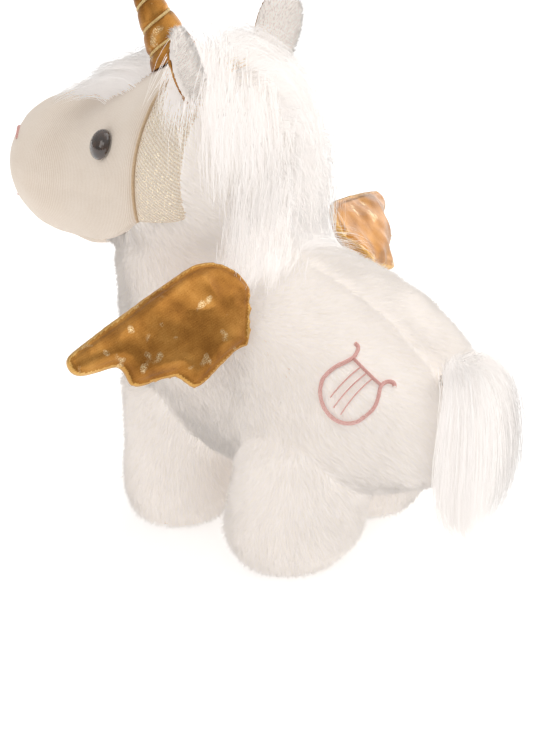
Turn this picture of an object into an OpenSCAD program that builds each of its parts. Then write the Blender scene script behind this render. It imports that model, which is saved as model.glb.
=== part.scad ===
// A plush winged unicorn: sewn fur shell over stuffing, padded wings, soft horn, hair mane and tail.
// Millimetres. It stands on the plane z = 0 and looks along -Y, and its left side is +X.
// Fur panels are as thick as their backing and pile together.

/* [Torso] */
// Width across the hips
hip_w = 110; // [98:1:118]
// Depth at the hips, back to belly
hip_h = 85; // [76:1:92]
// Width at the waist
waist_w = 108; // [98:1:116]
// Depth at the waist
waist_h = 99; // [90:1:106]
// Width across the shoulders
shoulder_w = 100; // [90:1:108]
// Depth at the shoulders
shoulder_h = 99; // [90:1:106]
// Width of the neck
neck_w = 88; // [78:1:94]
// Depth of the neck, front to back
neck_d = 76; // [66:1:82]
// Height of the belly above the floor
belly_z = 33; // [28:1:42]
// Shoulders to hips
back_len = 76; // [66:1:90]
// Hips to the end of the rump
rump_len = 44; // [38:1:50]

/* [Head] */
// Height of the middle of the head above the floor
head_z = 168; // [162:1:176]
// Width across the cheeks
head_w = 102; // [94:1:110]
// Height of the head
head_h = 98; // [92:1:106]
// Middle of the head to its back
head_back = 44; // [40:1:50]
// Length of the face panel, ahead of the fur and behind the muzzle seam
face_len = 22; // [18:1:26]
// Muzzle seam to the tip of the nose
muzzle_len = 101; // [90:1:110]
// Width of the muzzle at its fullest
muzzle_w = 74; // [66:1:80]
// Height of the muzzle at its fullest
muzzle_h = 66; // [60:1:72]
// How far the muzzle sits below the middle of the head
muzzle_drop = 15; // [10:1:18]

/* [Legs] */
// Radius of a front leg at its middle
front_leg_r = 25; // [21:0.5:27]
// Radius of a hind leg at its middle
hind_leg_r = 30; // [26:0.5:32]
// Sideways distance from the middle to each front leg
front_leg_x = 26; // [26:0.5:30]
// Sideways distance from the middle to each hind leg
hind_leg_x = 31; // [31:0.5:35]
// Radius of each flat sole
sole_r = 18; // [14:0.5:20]
// Thickness of a sole
sole_t = 2; // [1.5:0.1:3]

/* [Fabric] */
// Fur fabric, backing and pile
fur_t = 7; // [5:0.5:8]
// Smooth fabric of the face, muzzle and ear linings
velour_t = 2.4; // [1.6:0.1:3]
// Metallic wing and horn fabric
lame_t = 0.9; // [0.7:0.1:1.4]
// Space between two sewn pieces
seam_gap = 0.3; // [0.25:0.05:0.4]

/* [Wings] */
// Root seam to tip
wing_span = 80; // [68:1:92]
// Length of the root seam
wing_root = 26; // [22:1:30]
// Depth of a wing from its hump to its lobes
wing_depth = 58; // [48:1:66]
// Thickness of the padding at its fullest
wing_pad = 9; // [6:0.5:12]
// Height of the middle of the root seam
wing_z = 118; // [108:1:121]
// Forward sweep at rest, degrees
wing_sweep = 28; // [15:1:38]

/* [Horn and ears] */
// Length of the horn
horn_len = 52; // [42:1:62]
// Radius of the horn at its base
horn_r = 11; // [9:0.5:13]
// Turns of the wound thread
horn_turns = 5; // [3:1:7]
// Height of an ear above its base seam
ear_len = 34; // [28:1:40]
// Width of an ear
ear_w = 25; // [20:1:29]

/* [Eyes] */
// Radius of the eye dome
eye_r = 7; // [5.5:0.5:8.5]
// Radius of the eye's stem
stem_r = 1.6; // [1.2:0.1:2]

/* [Hair] */
// Thickness of the mane
mane_t = 12; // [10:1:15]
// Width of the mane at the neck
mane_w = 55; // [46:1:64]
// Length of the tail hair
tail_len = 80; // [70:1:84]
// Width of the tail at its fullest
tail_w = 56; // [46:1:62]
// Thickness of the tail at its fullest
tail_t = 26; // [20:1:30]

/* [Embroidery] */
// Height of the lyre
lyre_h = 36; // [28:1:40]
// Width of a satin stitch line
stitch_w = 2; // [1.6:0.1:2.6]

/* [Hidden] */

// The muzzle and the tail reach equally far from the origin
shoulder_y = -13;
hip_y = shoulder_y + back_len;
rump_y = hip_y + rump_len;
head_y = shoulder_y - 18;
hip_z = belly_z + hip_h / 2;
waist_z = belly_z - 1 + waist_h / 2;
shoulder_z = belly_z + 1 + shoulder_h / 2;
// Angle below the horizontal at which the side panels meet the belly panel
belly_seam = 52;
neck_top_z = head_z - 32;

// Torso sections along the spine: y, z, half width, half depth, tilt of the section
SPINE = [
    [rump_y, hip_z - 2, 1, 1, -20],
    [rump_y - 5, hip_z - 2, 0.27 * hip_w, 0.26 * hip_h, -15],
    [rump_y - 19, hip_z - 1, 0.42 * hip_w, 0.37 * hip_h, -9],
    [hip_y, hip_z, hip_w / 2, hip_h / 2, 0],
    [(hip_y + shoulder_y) / 2, waist_z, waist_w / 2, waist_h / 2, 0],
    [shoulder_y, shoulder_z, shoulder_w / 2, shoulder_h / 2, 8],
    [shoulder_y - 20, (shoulder_z + neck_top_z) / 2 - 4, (shoulder_w + neck_w) / 4,
        (shoulder_h + neck_d) / 4, 34],
    [shoulder_y - 25, neck_top_z, neck_w / 2, neck_d / 2, 66]];
LAST = len(SPINE) - 1;
// Ring stations along the torso, closer together at the round rump
TORSO_U = [0, 0.35, 0.7, 1, 1.5, 2, 2.5, 3, 3.5, 4, 4.5, 5, 5.5, 6, 6.5, LAST];
torso_cols = 24;

// Head sections from the back of the head to the nose: y, z, half width, half height
muzzle_z = head_z - muzzle_drop;
HEAD = [
    [head_y + head_back, head_z + 3, 1, 1],
    [head_y + 0.88 * head_back, head_z + 3, 0.25 * head_w, 0.26 * head_h],
    [head_y + 0.5 * head_back, head_z + 2, 0.44 * head_w, 0.45 * head_h],
    [head_y, head_z, head_w / 2, head_h / 2],
    [head_y - 0.2 * muzzle_len, mix(head_z, muzzle_z, 0.35), 0.45 * head_w, 0.45 * head_h],
    [head_y - 0.5 * muzzle_len, mix(head_z, muzzle_z, 0.8), muzzle_w / 2, 0.52 * muzzle_h],
    [head_y - 0.74 * muzzle_len, muzzle_z, 0.49 * muzzle_w, muzzle_h / 2],
    [head_y - 0.94 * muzzle_len, muzzle_z - 1, 0.33 * muzzle_w, 0.34 * muzzle_h],
    [head_y - muzzle_len, muzzle_z - 1, 1, 1]];
SEAM_U = 3;
NOSE_U = len(HEAD) - 1;
head_cols = 24;
// The face panel starts at this station and ends at the muzzle seam, above the jaw
FACE_U = 2 + (1 - face_len / (0.5 * head_back));
jaw_angle = -19;
// Under the jaw the fur reaches further forward
jaw_reach = 1.5;
jaw_turn = 36;
function seam_u(a) = SEAM_U + jaw_reach * min(1, max(0, (jaw_angle - a) / jaw_turn));

function mix(a, b, k) = a + (b - a) * k;
function unit(v) = v / norm(v);

// Point at place u along a table of rows, on a smooth curve through them
function spline(rows, u) = let (
    n = len(rows) - 1, i = max(0, min(floor(u), n - 1)), f = u - i,
    p0 = rows[max(i - 1, 0)], p1 = rows[i], p2 = rows[i + 1], p3 = rows[min(i + 2, n)])
    0.5 * (2 * p1 + (p2 - p0) * f + (2 * p0 - 5 * p1 + 4 * p2 - p3) * f * f
        + (3 * p1 - p0 - 3 * p2 + p3) * f * f * f);

// Point of a section table's surface at station u and angle a, 90 at the top.
// The torso's upper half is squarer than an ellipse.
back_power = 0.83;
function square_up(x, a) = sin(a) <= 0 ? x : sign(x) * pow(abs(x), back_power);
function torso_skin(u, a) = let (s = spline(SPINE, u), up = s[3] * square_up(sin(a), a))
    [s[2] * square_up(cos(a), a), s[0] + up * sin(s[4]), s[1] + up * cos(s[4])];
function head_skin(u, a) = let (s = spline(HEAD, u))
    [s[2] * cos(a), s[0], s[1] + s[3] * sin(a)];

// Outward normal, from two short steps along each skin
function torso_normal(u, a) = let (k = min(max(u, 0.06), LAST - 0.06),
    du = torso_skin(k + 0.05, a) - torso_skin(k - 0.05, a),
    da = torso_skin(k, a + 1) - torso_skin(k, a - 1)) in_neck_plane(u, unit(cross(da, du)));
// The last torso section stays flat when it is moved inward or outward
neck_tilt = SPINE[LAST][4];
neck_axis = [0, -cos(neck_tilt), sin(neck_tilt)];
function in_neck_plane(u, n) = u < LAST ? n : unit(n - (n * neck_axis) * neck_axis);
function head_normal(u, a) = let (k = min(max(u, 0.06), NOSE_U - 0.06),
    du = head_skin(k + 0.05, a) - head_skin(k - 0.05, a),
    da = head_skin(k, a + 1) - head_skin(k, a - 1)) unit(cross(da, du));

// Skins moved outward by off
function torso_at(u, a, off) = torso_skin(u, a) + off * torso_normal(u, a);
function head_at(u, a, off) = head_skin(u, a) + off * head_normal(u, a);

function torso_ring(u, off) = [for (j = [0:torso_cols - 1]) torso_at(u, 360 * j / torso_cols, off)];
function head_ring(u, off) = [for (j = [0:head_cols - 1]) head_at(u, 360 * j / head_cols, off)];

// Evenly spaced values from a to b
function span(a, b, n) = [for (i = [0:n]) mix(a, b, i / n)];

// Triangles of a grid of points; wrap joins its last column to its first
function grid(rows, cols, wrap, first, flip) = [for (i = [0:rows - 2], j = [0:cols - (wrap ? 1 : 2)])
    let (a = first + i * cols + j, b = first + i * cols + (j + 1) % cols, c = a + cols, d = b + cols)
    each flip ? [[a, b, d], [a, d, c]] : [[a, d, b], [a, c, d]]];

// Solid through rings of points, with flat ends
module loft(rings) {
    n = len(rings[0]);
    m = len(rings);
    polyhedron(points = [for (r = rings) each r], faces = concat(
        grid(m, n, true, 0, false),
        [for (j = [1:n - 2]) [0, j, j + 1]],
        [for (j = [1:n - 2]) [(m - 1) * n, (m - 1) * n + j + 1, (m - 1) * n + j]]));
}

// Tube between outer rings and inner rings
module tube(outer, inner) {
    n = len(outer[0]);
    rings = concat(outer, [for (i = [len(inner) - 1:-1:0]) inner[i]], [outer[0]]);
    m = len(rings) - 1;
    last = (m - 1) * n;
    polyhedron(points = [for (i = [0:m - 1]) each rings[i]], faces = concat(
        grid(m, n, true, 0, false),
        [for (j = [0:n - 1]) let (k = (j + 1) % n) each [[last + j, k, last + k], [last + j, j, k]]]));
}

// Sheet between two equal grids of points
module sheet(outer, inner) {
    rows = len(outer);
    cols = len(outer[0]);
    n = rows * cols;
    edge = concat([for (j = [0:cols - 2]) j], [for (i = [0:rows - 2]) i * cols + cols - 1],
        [for (j = [cols - 1:-1:1]) (rows - 1) * cols + j], [for (i = [rows - 1:-1:1]) i * cols]);
    polyhedron(points = concat([for (r = outer) each r], [for (r = inner) each r]), faces = concat(
        grid(rows, cols, false, 0, false), grid(rows, cols, false, n, true),
        [for (k = [0:len(edge) - 1]) let (a = edge[k], b = edge[(k + 1) % len(edge)])
            each [[a, b, b + n], [a, b + n, a + n]]]));
}

// One mesh from booleans of meshes
module one_mesh() resize([0, 0, 0]) children();

// The same piece on the other side
module right_side() mirror([1, 0, 0]) children();

// ---- Torso ----

// Torso grown by off, and past its flat top by the width of a seam
module torso_solid(off) loft(concat([for (u = TORSO_U) torso_ring(u, off)],
    [[for (p = torso_ring(LAST, off)) p + seam_gap * neck_axis]]));
module head_solid(off) loft([for (u = span(0, NOSE_U, 16)) head_ring(u, off)]);

// Flat facets of neighbouring pieces differ by this much
facet_slack = 0.4;
// The neck opening in the head and the tops of the legs share this clearance around the torso
module torso_cutter() torso_solid(seam_gap + facet_slack);
module head_cutter() head_solid(seam_gap + facet_slack);

module body_panel() color("ivory") one_mesh() difference() {
    translate([seam_gap / 2, 0, 0]) sheet(
        [for (u = TORSO_U) [for (a = span(-belly_seam, 90, 9)) torso_at(u, a, 0)]],
        [for (u = TORSO_U) [for (a = span(-belly_seam, 90, 9)) torso_at(u, a, -fur_panel_t(u))]]);
    above_neck();
}
// Everything past the plane where the neck ends
module above_neck() translate([0, SPINE[LAST][0], SPINE[LAST][1]]) rotate([90 - neck_tilt, 0, 0])
    translate([-60, -60, 0]) cube([120, 120, 60]);
// Fur fabric thins where the rump closes to a point
function fur_panel_t(u) = u < 0.3 ? 0.6 * fur_t : fur_t;

module body_panel_left() body_panel();
module body_panel_right() right_side() body_panel();

module belly_panel() color("ivory") {
    half = 90 - belly_seam - 0.6;
    sheet([for (u = TORSO_U) [for (a = span(-90 - half, -90 + half, 6)) torso_at(u, a, -0.05)]],
        [for (u = TORSO_U) [for (a = span(-90 - half, -90 + half, 6)) torso_at(u, a, -fur_panel_t(u))]]);
}

module body_stuffing() color("white") one_mesh() difference() {
    loft([for (u = concat([0.55], [for (k = [2:len(TORSO_U) - 1]) TORSO_U[k]])) torso_ring(u, -fur_t - seam_gap)]);
    above_neck();
}

// ---- Legs ----

function front_foot() = [front_leg_x, shoulder_y - 15];
function hind_foot() = [hind_leg_x, hip_y - 26];
// Height at which a leg has passed into the torso, and its lean from the foot to there
leg_top_z = belly_z + 36;

// Radius of a leg at height z, round at the foot and fuller at the top
function leg_r(z, r, r_top) = z < 16 ? sole_r + 1.5 + (r - sole_r - 1.5) * sin(90 * z / 16)
    : mix(r, r_top, pow((z - 16) / (leg_top_z - 16), 2));
function leg_ring(foot, lean, z, r) = [for (j = [0:17])
    let (a = 360 * j / 18, k = z / leg_top_z)
    [foot.x + lean.x * k + r * cos(a), foot.y + lean.y * k + r * sin(a), z]];
LEG_Z = [sole_t + seam_gap, 6, 15, 28, 44, leg_top_z];
function leg_rings(foot, lean, r, r_top, off) =
    [for (z = LEG_Z) leg_ring(foot, lean, z, leg_r(z, r, r_top) + off)];
FRONT_LEAN = [-3, -2];
HIND_LEAN = [-4, 12];

module leg_tube(foot, lean, r, r_top) color("ivory") one_mesh() difference() {
    tube(leg_rings(foot, lean, r, r_top, 0), leg_rings(foot, lean, r, r_top, -fur_t));
    torso_cutter();
    other_side();
}
// Everything past the middle plane, where the two legs of a pair press together
module other_side() translate([-40, -100, 0]) cube([40 + seam_gap / 2, 300, 100]);
module leg_fill(foot, lean, r, r_top) color("white") one_mesh() difference() {
    loft(leg_rings(foot, lean, r, r_top, -fur_t - seam_gap));
    torso_cutter();
}
module sole(foot) color("antiquewhite") translate([foot.x, foot.y, 0]) cylinder(h = sole_t, r = sole_r, $fn = 64);

module front_leg() leg_tube(front_foot(), FRONT_LEAN, front_leg_r, front_leg_r);
module hind_leg() leg_tube(hind_foot(), HIND_LEAN, hind_leg_r, hind_leg_r + 2);
module front_fill() leg_fill(front_foot(), FRONT_LEAN, front_leg_r, front_leg_r);
module hind_fill() leg_fill(hind_foot(), HIND_LEAN, hind_leg_r, hind_leg_r + 2);

module leg_front_left() front_leg();
module leg_front_right() right_side() front_leg();
module leg_hind_left() hind_leg();
module leg_hind_right() right_side() hind_leg();
module leg_stuffing_front_left() front_fill();
module leg_stuffing_front_right() right_side() front_fill();
module leg_stuffing_hind_left() hind_fill();
module leg_stuffing_hind_right() right_side() hind_fill();
module sole_front_left() sole(front_foot());
module sole_front_right() right_side() sole(front_foot());
module sole_hind_left() sole(hind_foot());
module sole_hind_right() right_side() sole(hind_foot());

// ---- Head ----

// Steps along and around the head that leave a seam's width between panels
u_step = 0.02;
a_step = 0.5;

// Sheet over the head's skin between two front-to-back limits, each a list with one value per angle
module head_sheet(from, to, angles, rows, t) translate([seam_gap / 2, 0, 0]) {
    shares = span(0, 1, rows);
    sheet([for (k = shares) [for (j = [0:len(angles) - 1]) head_at(mix(from[j], to[j], k), angles[j], 0)]],
        [for (k = shares) [for (j = [0:len(angles) - 1]) head_at(mix(from[j], to[j], k), angles[j], -t)]]);
}
function same(value, list) = [for (x = list) value];

JAW = concat(span(-90, jaw_angle - jaw_turn, 3), span(jaw_angle - jaw_turn * 0.75, jaw_angle - a_step, 3));
BROW = span(jaw_angle + a_step, 90, 7);
AROUND = concat(JAW, BROW);

// Back, cheek and jaw in fur; the neck opening is cut to the torso
module head_fur() color("ivory") one_mesh() difference() {
    union() {
        head_sheet(same(0, AROUND), same(1, AROUND), AROUND, 3, fur_t);
        head_sheet(same(0.98, AROUND), same(FACE_U, AROUND), AROUND, 4, fur_t);
        head_sheet(same(FACE_U - 0.02, JAW), [for (a = JAW) seam_u(a) - u_step], JAW, 4, fur_t);
    }
    torso_cutter();
}
module face_panel() color("wheat") one_mesh() difference() {
    head_sheet(same(FACE_U + u_step, BROW), same(SEAM_U - u_step, BROW), BROW, 5, velour_t);
    torso_cutter();
}
module muzzle_half() color("linen") one_mesh() difference() {
    union() {
        head_sheet([for (a = AROUND) seam_u(a) + u_step], same(7, AROUND), AROUND, 7, velour_t);
        head_sheet(same(6.98, AROUND), same(NOSE_U, AROUND), AROUND, 3, velour_t);
    }
    torso_cutter();
    eye_place(1) stem_hole();
}

module head_panel_left() head_fur();
module head_panel_right() right_side() head_fur();
module face_panel_left() face_panel();
module face_panel_right() right_side() face_panel();
module muzzle_left() muzzle_half();
module muzzle_right() right_side() muzzle_half();

// Stitched line in the seam between face and muzzle, from jaw to jaw over the bridge
module muzzle_seam() color("tan")
    stitch_line([for (a = span(jaw_angle, 180 - jaw_angle, 24)) on_head(SEAM_U, a, 0.6 + seam_gap)], 1.6, 1.2);

// Stuffing of the head and of the muzzle, hollowed around the neck, the eye stems and the washers
module head_stuffing() color("white") one_mesh() difference() {
    loft([for (u = concat([0.6, 0.8, 1.2], span(1.7, SEAM_U, 4))) head_ring(u, -fur_t - seam_gap)]);
    torso_cutter();
}
module muzzle_stuffing() color("white") one_mesh() difference() {
    union() {
        loft([for (u = span(SEAM_U + 0.06, SEAM_U + jaw_reach + 0.1, 2)) head_ring(u, -fur_t - seam_gap)]);
        loft([for (u = concat(span(SEAM_U + jaw_reach + 0.06, 7, 6), [7.3, 7.6]))
            head_ring(u, -velour_t - seam_gap - 0.2)]);
    }
    torso_cutter();
    for (side = [-1, 1]) eye_place(side) washer_room();
}

// ---- Eyes: dome, stem and locking washer ----

eye_u = 4.15;
eye_angle = 26;
stem_len = velour_t + 8;
washer_r = eye_r;
washer_t = 1.6;

// Frame at the eye: z points out of the face
module eye_place(side) {
    p = head_at(eye_u, eye_angle, 0);
    n = head_normal(eye_u, eye_angle);
    mirror([side < 0 ? 1 : 0, 0, 0]) translate(p) rotate([0, acos(n.z), atan2(n.y, n.x)]) children();
}
// The flat back of the eye stands clear of the curved face
eye_seat = seam_gap;
module eye(side) color("saddlebrown") eye_place(side) rotate_extrude($fn = 64) polygon(concat(
    [[0, -stem_len], [stem_r, -stem_len], [stem_r, eye_seat]],
    [for (a = [0:10:90]) [eye_r * cos(a), eye_seat + 0.6 + 0.62 * eye_r * sin(a)]]));
washer_z = -velour_t - 3;
module washer(side) color("silver") eye_place(side) translate([0, 0, washer_z - washer_t]) difference() {
    cylinder(h = washer_t, r = washer_r, $fn = 64);
    translate([0, 0, -1]) cylinder(h = washer_t + 2, r = stem_r + 0.1, $fn = 48);
}
module washer_room() {
    translate([0, 0, washer_z - washer_t - seam_gap]) cylinder(h = 12, r = washer_r + seam_gap, $fn = 32);
    translate([0, 0, -stem_len - seam_gap]) cylinder(h = 12, r = stem_r + seam_gap, $fn = 24);
}
module stem_hole() translate([0, 0, -stem_len]) cylinder(h = 2 * stem_len, r = stem_r + seam_gap, $fn = 24);
module eye_left() eye(1);
module eye_right() eye(-1);
module eye_washer_left() washer(1);
module eye_washer_right() washer(-1);

// ---- Embroidered nostrils and mouth ----

// Sweep of a small round section along points that lie off a skin
module stitch_line(path, w, h) {
    n = len(path);
    loft([for (i = [0:n - 1]) let (
        d = unit(path[min(i + 1, n - 1)][0] - path[max(i - 1, 0)][0]),
        up = path[i][1], side = unit(cross(up, d)), e = (i == 0 || i == n - 1) ? 0.5 : 1)
        [for (j = [0:5]) path[i][0] + e * (w / 2 * cos(60 * j) * side + h / 2 * sin(60 * j) * up)]]);
}
function on_head(u, a, lift) = [head_at(u, a, lift), head_normal(u, a)];
nostril_u = 6.8;
module nostril() color("rosybrown") stitch_line(
    [for (k = span(-1, 1, 4)) on_head(nostril_u + 0.22 * k, 38 + 7 * k, 0.5 + seam_gap)], 3, 1);
module nostril_left() nostril();
module nostril_right() right_side() nostril();
module mouth_stitch() color("rosybrown") stitch_line(
    [for (k = span(-1, 1, 12)) on_head(7.2 - 0.5 * k * k, -90 + 60 * k, 0.5 + seam_gap)], 1.4, 1);

// ---- Horn ----

horn_u = 3.72;
module horn_place() {
    p = head_at(horn_u, 90, 0);
    n = head_normal(horn_u, 90);
    translate(p) rotate([acos(n.z) * (n.y < 0 ? 1 : -1), 0, 0]) children();
}
// The curved brow rises inside the base ring, so the ring sits this much lower than its crest
horn_sink = 50 - sqrt(50 * 50 - pow(horn_r - lame_t, 2));
horn_base = seam_gap - 0.3 * horn_sink;
horn_tip_r = 1.6;
function horn_radius(z) = mix(horn_r, horn_tip_r, z / horn_len);
module horn_room() horn_place() translate([0, 0, -6]) cylinder(h = 40, r = horn_r + 2 * seam_gap, $fn = 32);
module horn_cover() color("goldenrod") horn_place() translate([0, 0, horn_base]) rotate_extrude($fn = 64)
    polygon([[horn_r, 0], [horn_tip_r, horn_len], [0, horn_len + 1.4], [0, horn_len - 3],
        [0.6, horn_len - 3], [horn_r - lame_t, 0]]);
module horn_stuffing() color("white") horn_place() translate([0, 0, horn_base + horn_sink + seam_gap])
    rotate_extrude($fn = 64) polygon([[0, 0], [horn_r - 3 * lame_t, 0], [0.8, horn_len - 10], [0, horn_len - 9.6]]);
thread_r = 0.7;
module horn_thread() color("goldenrod") horn_place() translate([0, 0, horn_base]) {
    steps = horn_turns * 16;
    stitch_line([for (i = [0:steps]) let (z = mix(3, horn_len - 4, i / steps), a = 360 * horn_turns * i / steps,
        out = [cos(a), sin(a), 0])
        [(horn_radius(z) + thread_r + seam_gap) * out + [0, 0, z], out]], 2 * thread_r, 2 * thread_r);
}

// ---- Ears: fur outside, lining inside, folded about the base seam ----

ear_u = 2.2;
ear_angle = 56;
// Point of the ear's leaf shape: k across from -1 to 1, s up from 0 to 1, off towards its front
function ear_half_w(s) = ear_w / 2 * (0.66 + 0.85 * s - 0.42 * s * s) * sqrt(max(0.002, 1 - pow(s, 2.6)));
function ear_point(k, s, off) = [k * ear_half_w(s), -off + 5 * (1 - k * k) * (1 - 0.5 * s), s * ear_len];
function ear_sheet(top, share, off) = [for (s = [0:1 / 7:top]) [for (k = span(-share, share, 6)) ear_point(k, s, off)]];
ear_base = head_at(ear_u, ear_angle, 1.2);
ear_yaw = 24;
ear_roll = 26;
lining_gap = 1.5 * seam_gap;
// The ear's base seam: a point on it and its direction, about which the ear folds
ear_pin = ear_base + 3 * [cos(ear_roll) * sin(ear_yaw), -cos(ear_yaw), -sin(ear_roll) * sin(ear_yaw)];
ear_axis = [cos(ear_roll) * cos(ear_yaw), sin(ear_yaw), -sin(ear_roll) * cos(ear_yaw)];
ear_fold = 30;
module ear_place() translate(ear_pin) rotate([0, ear_roll, 0]) rotate([0, 0, ear_yaw]) children();
// The base is trimmed to clear the head through the whole fold
module ear_room() for (turn = [-ear_fold, -ear_fold / 2, 0, ear_fold / 2, ear_fold])
    translate(ear_pin) rotate(turn, ear_axis) translate(-ear_pin) head_cutter();
module ear_outer() color("ivory") one_mesh() difference() {
    ear_place() sheet(ear_sheet(1.01, 1, 0), ear_sheet(1.01, 1, -3.2));
    ear_room();
}
module ear_lining() color("goldenrod") one_mesh() difference() {
    ear_place() sheet(ear_sheet(0.9, 0.94, lining_gap + velour_t / 2),
            ear_sheet(0.9, 0.94, lining_gap));
    ear_room();
}
module ear_outer_left() ear_outer();
module ear_outer_right() right_side() ear_outer();
module ear_lining_left() ear_lining();
module ear_lining_right() right_side() ear_lining();

// ---- Mane, forelock and tail ----

// The mane's middle line from behind the horn over the crown and down to the withers
MANE = [[head_y + 4, head_z + 48, 12], [head_y + 22, head_z + 40, 0.42 * mane_w],
    [head_y + 38, head_z + 14, 0.5 * mane_w], [head_y + 38, head_z - 12, 0.5 * mane_w],
    [head_y + 42, head_z - 28, 0.44 * mane_w], [head_y + 50, head_z - 34, 8]];
// Angle of each section: it faces away from the head and then up from the back
function mane_ring(u) = let (m = spline(MANE, u),
    d = spline(MANE, min(u + 0.1, 5)) - spline(MANE, max(u - 0.1, 0)),
    out = unit([d[1], -d[0]]) * -1, depth = mane_t * (0.55 + 0.45 * sin(180 * u / 5)))
    [for (j = [0:15]) let (a = 360 * j / 16)
        [m[2] * cos(a), m[0] + depth * sin(a) * out[0], m[1] + depth * sin(a) * out[1]]];
module mane() color("seashell") one_mesh() difference() {
    loft([for (i = [10:-1:0]) mane_ring(i / 2)]);
    head_cutter();
    torso_cutter();
    keep_clear_of_ears();
    horn_room();
}
// Room for the ears to fold back
module keep_clear_of_ears() for (side = [0, 1]) mirror([side, 0, 0])
    translate(ear_base) rotate([90, 0, 0]) cylinder(h = 90, r = 17, center = true, $fn = 32);

module forelock() color("seashell") one_mesh() difference() {
    loft([for (u = span(0, 1, 6)) let (p = head_skin(mix(horn_u + 0.35, 4.8, u), 90), w = mix(13, 5, u * u))
        [for (j = [0:11]) let (a = 30 * j) [w * cos(a) + 2 * u, p.y + 4 * sin(a) * 0.2, p.z + 1 + 5.5 * sin(a)]]]);
    head_cutter();
    horn_room();
}

// A tab stands on the rump; the hair is tied to its end, bends over and hangs behind it
tail_u = 0.85;
tail_pin = torso_at(tail_u, 90, 2 * seam_gap);
tail_dir = torso_normal(tail_u, 90);
tab_len = 7;
tail_root = tail_pin + (tab_len + 2 * seam_gap) * tail_dir;
module tail_tab() color("antiquewhite") translate(tail_pin) rotate([-acos(tail_dir.z), 0, 0])
    cylinder(h = tab_len, r = 3.6, $fn = 32);
// Middle line of the tail hair: y and z from its root, half width, half thickness
TAIL = [[0.2, 2.6, 4, 3], [5, 4.5, 11, 7], [10, -3, 0.36 * tail_w, 0.36 * tail_t],
    [12, -20, 0.46 * tail_w, 0.48 * tail_t], [12, -42, tail_w / 2, tail_t / 2],
    [11, -0.8 * tail_len, 0.40 * tail_w, 0.38 * tail_t], [10, -tail_len, 3, 3]];
function tail_ring(u) = let (m = spline(TAIL, u),
    d = spline(TAIL, min(u + 0.1, 6)) - spline(TAIL, max(u - 0.1, 0)), out = unit([-d[1], d[0]]))
    [for (j = [0:15]) let (a = -360 * j / 16)
        tail_root + [m[2] * cos(a), m[0] + m[3] * sin(a) * out[0], m[1] + m[3] * sin(a) * out[1]]];
// The hair is trimmed to clear the rump as it sways, and the tab as it lifts
tail_sway = 35;
tail_lift = 80;
module tail_hair() color("seashell") one_mesh() difference() {
    loft([for (i = [0:12]) tail_ring(i / 2)]);
    for (turn = span(-tail_sway, tail_sway, 4))
        translate(tail_pin) rotate(turn, tail_dir) translate(-tail_pin) torso_solid(2 * seam_gap + facet_slack);
    for (turn = span(0, tail_lift, 3)) translate(tail_root) rotate([-turn, 0, 0]) translate(tail_pin - tail_root)
        rotate([-acos(tail_dir.z), 0, 0]) cylinder(h = tab_len + seam_gap, r = 3.6 + 2 * seam_gap, $fn = 16);
}

// ---- Lyre on the left haunch ----

lyre_u = 2.37;
lyre_a = 40;
lyre_tilt = 26;
lyre_t = 1;
// Place on the haunch for a drawing point: x to the rear and y up the lyre's own axis, in its heights
function on_haunch(p) = let (
    rear = lyre_h * (p.x * cos(lyre_tilt) + p.y * sin(lyre_tilt)),
    up = lyre_h * (p.y * cos(lyre_tilt) - p.x * sin(lyre_tilt)),
    a = lyre_a + up / (hip_h / 2) * 57.3, u = lyre_u - rear / 30)
    [torso_at(u, a, seam_gap + lyre_t / 2), torso_normal(u, a)];
// Bowl as most of a circle whose ends turn out into two arms; crossbar and three strings inside
lyre_r = 0.38;
LYRE_BOWL = [for (a = [124:24:416]) lyre_r * [cos(a), sin(a)] - [0, 0.14]];
LYRE_ARMS = [[-0.24, 0.22], [-0.2, 0.34], [-0.27, 0.44], [-0.39, 0.5]];
function flip_x(p) = [-p.x, p.y];
module lyre_line(points, w) stitch_line([for (p = points) on_haunch(p)], w, lyre_t);
module lyre_embroidery() color("palevioletred") one_mesh() union() {
    lyre_line(concat([for (k = [len(LYRE_ARMS) - 1:-1:0]) LYRE_ARMS[k]], LYRE_BOWL, [for (p = LYRE_ARMS) flip_x(p)]), stitch_w);
    lyre_line([for (k = span(-1, 1, 4)) [0.24 * k, 0.25]], stitch_w / 2);
    for (x = [-0.13, 0, 0.13]) lyre_line([for (k = span(-0.46, 0.24, 4)) [x, k]], stitch_w / 2);
}

// ---- Wings ----

// Edges of a wing from root to tip: share of the span out from the root seam, share of the depth
// up from its middle. The leading edge rises in a hump; the trailing edge has three rounded lobes.
WING_LEAD = [[0.02, 0.22], [0.1, 0.33], [0.22, 0.37], [0.34, 0.33], [0.46, 0.2], [0.74, -0.15], [0.93, -0.4],
    [1, -0.5]];
WING_TRAIL = [[0, -0.22], [0.07, -0.27], [0.2, -0.5], [0.28, -0.61], [0.38, -0.55], [0.52, -0.62],
    [0.63, -0.67], [0.7, -0.55], [0.82, -0.59], [0.95, -0.63], [1, -0.54]];
function wing_edge(rows, s) = let (p = spline(rows, s * (len(rows) - 1))) [p.x * wing_span, p.y * wing_depth];
function wing_thick(s, t) = wing_pad / 2 * sqrt(max(0, 4 * t * (1 - t)))
    * pow(max(0, sin(180 * (0.1 + 0.86 * s))), 0.6);
WING_S = span(0, 1, 20);
WING_T = [0, 0.12, 0.3, 0.5, 0.7, 0.88, 1];

// Axes of the wing at rest: along the root seam, out along the span, and out of its front face
wing_up = unit([-0.55, -0.3, 0.78]);
sweep_dir = [cos(wing_sweep), -sin(wing_sweep), 0];
wing_out = unit(sweep_dir - (sweep_dir * wing_up) * wing_up);
wing_face = cross(wing_out, wing_up);
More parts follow.
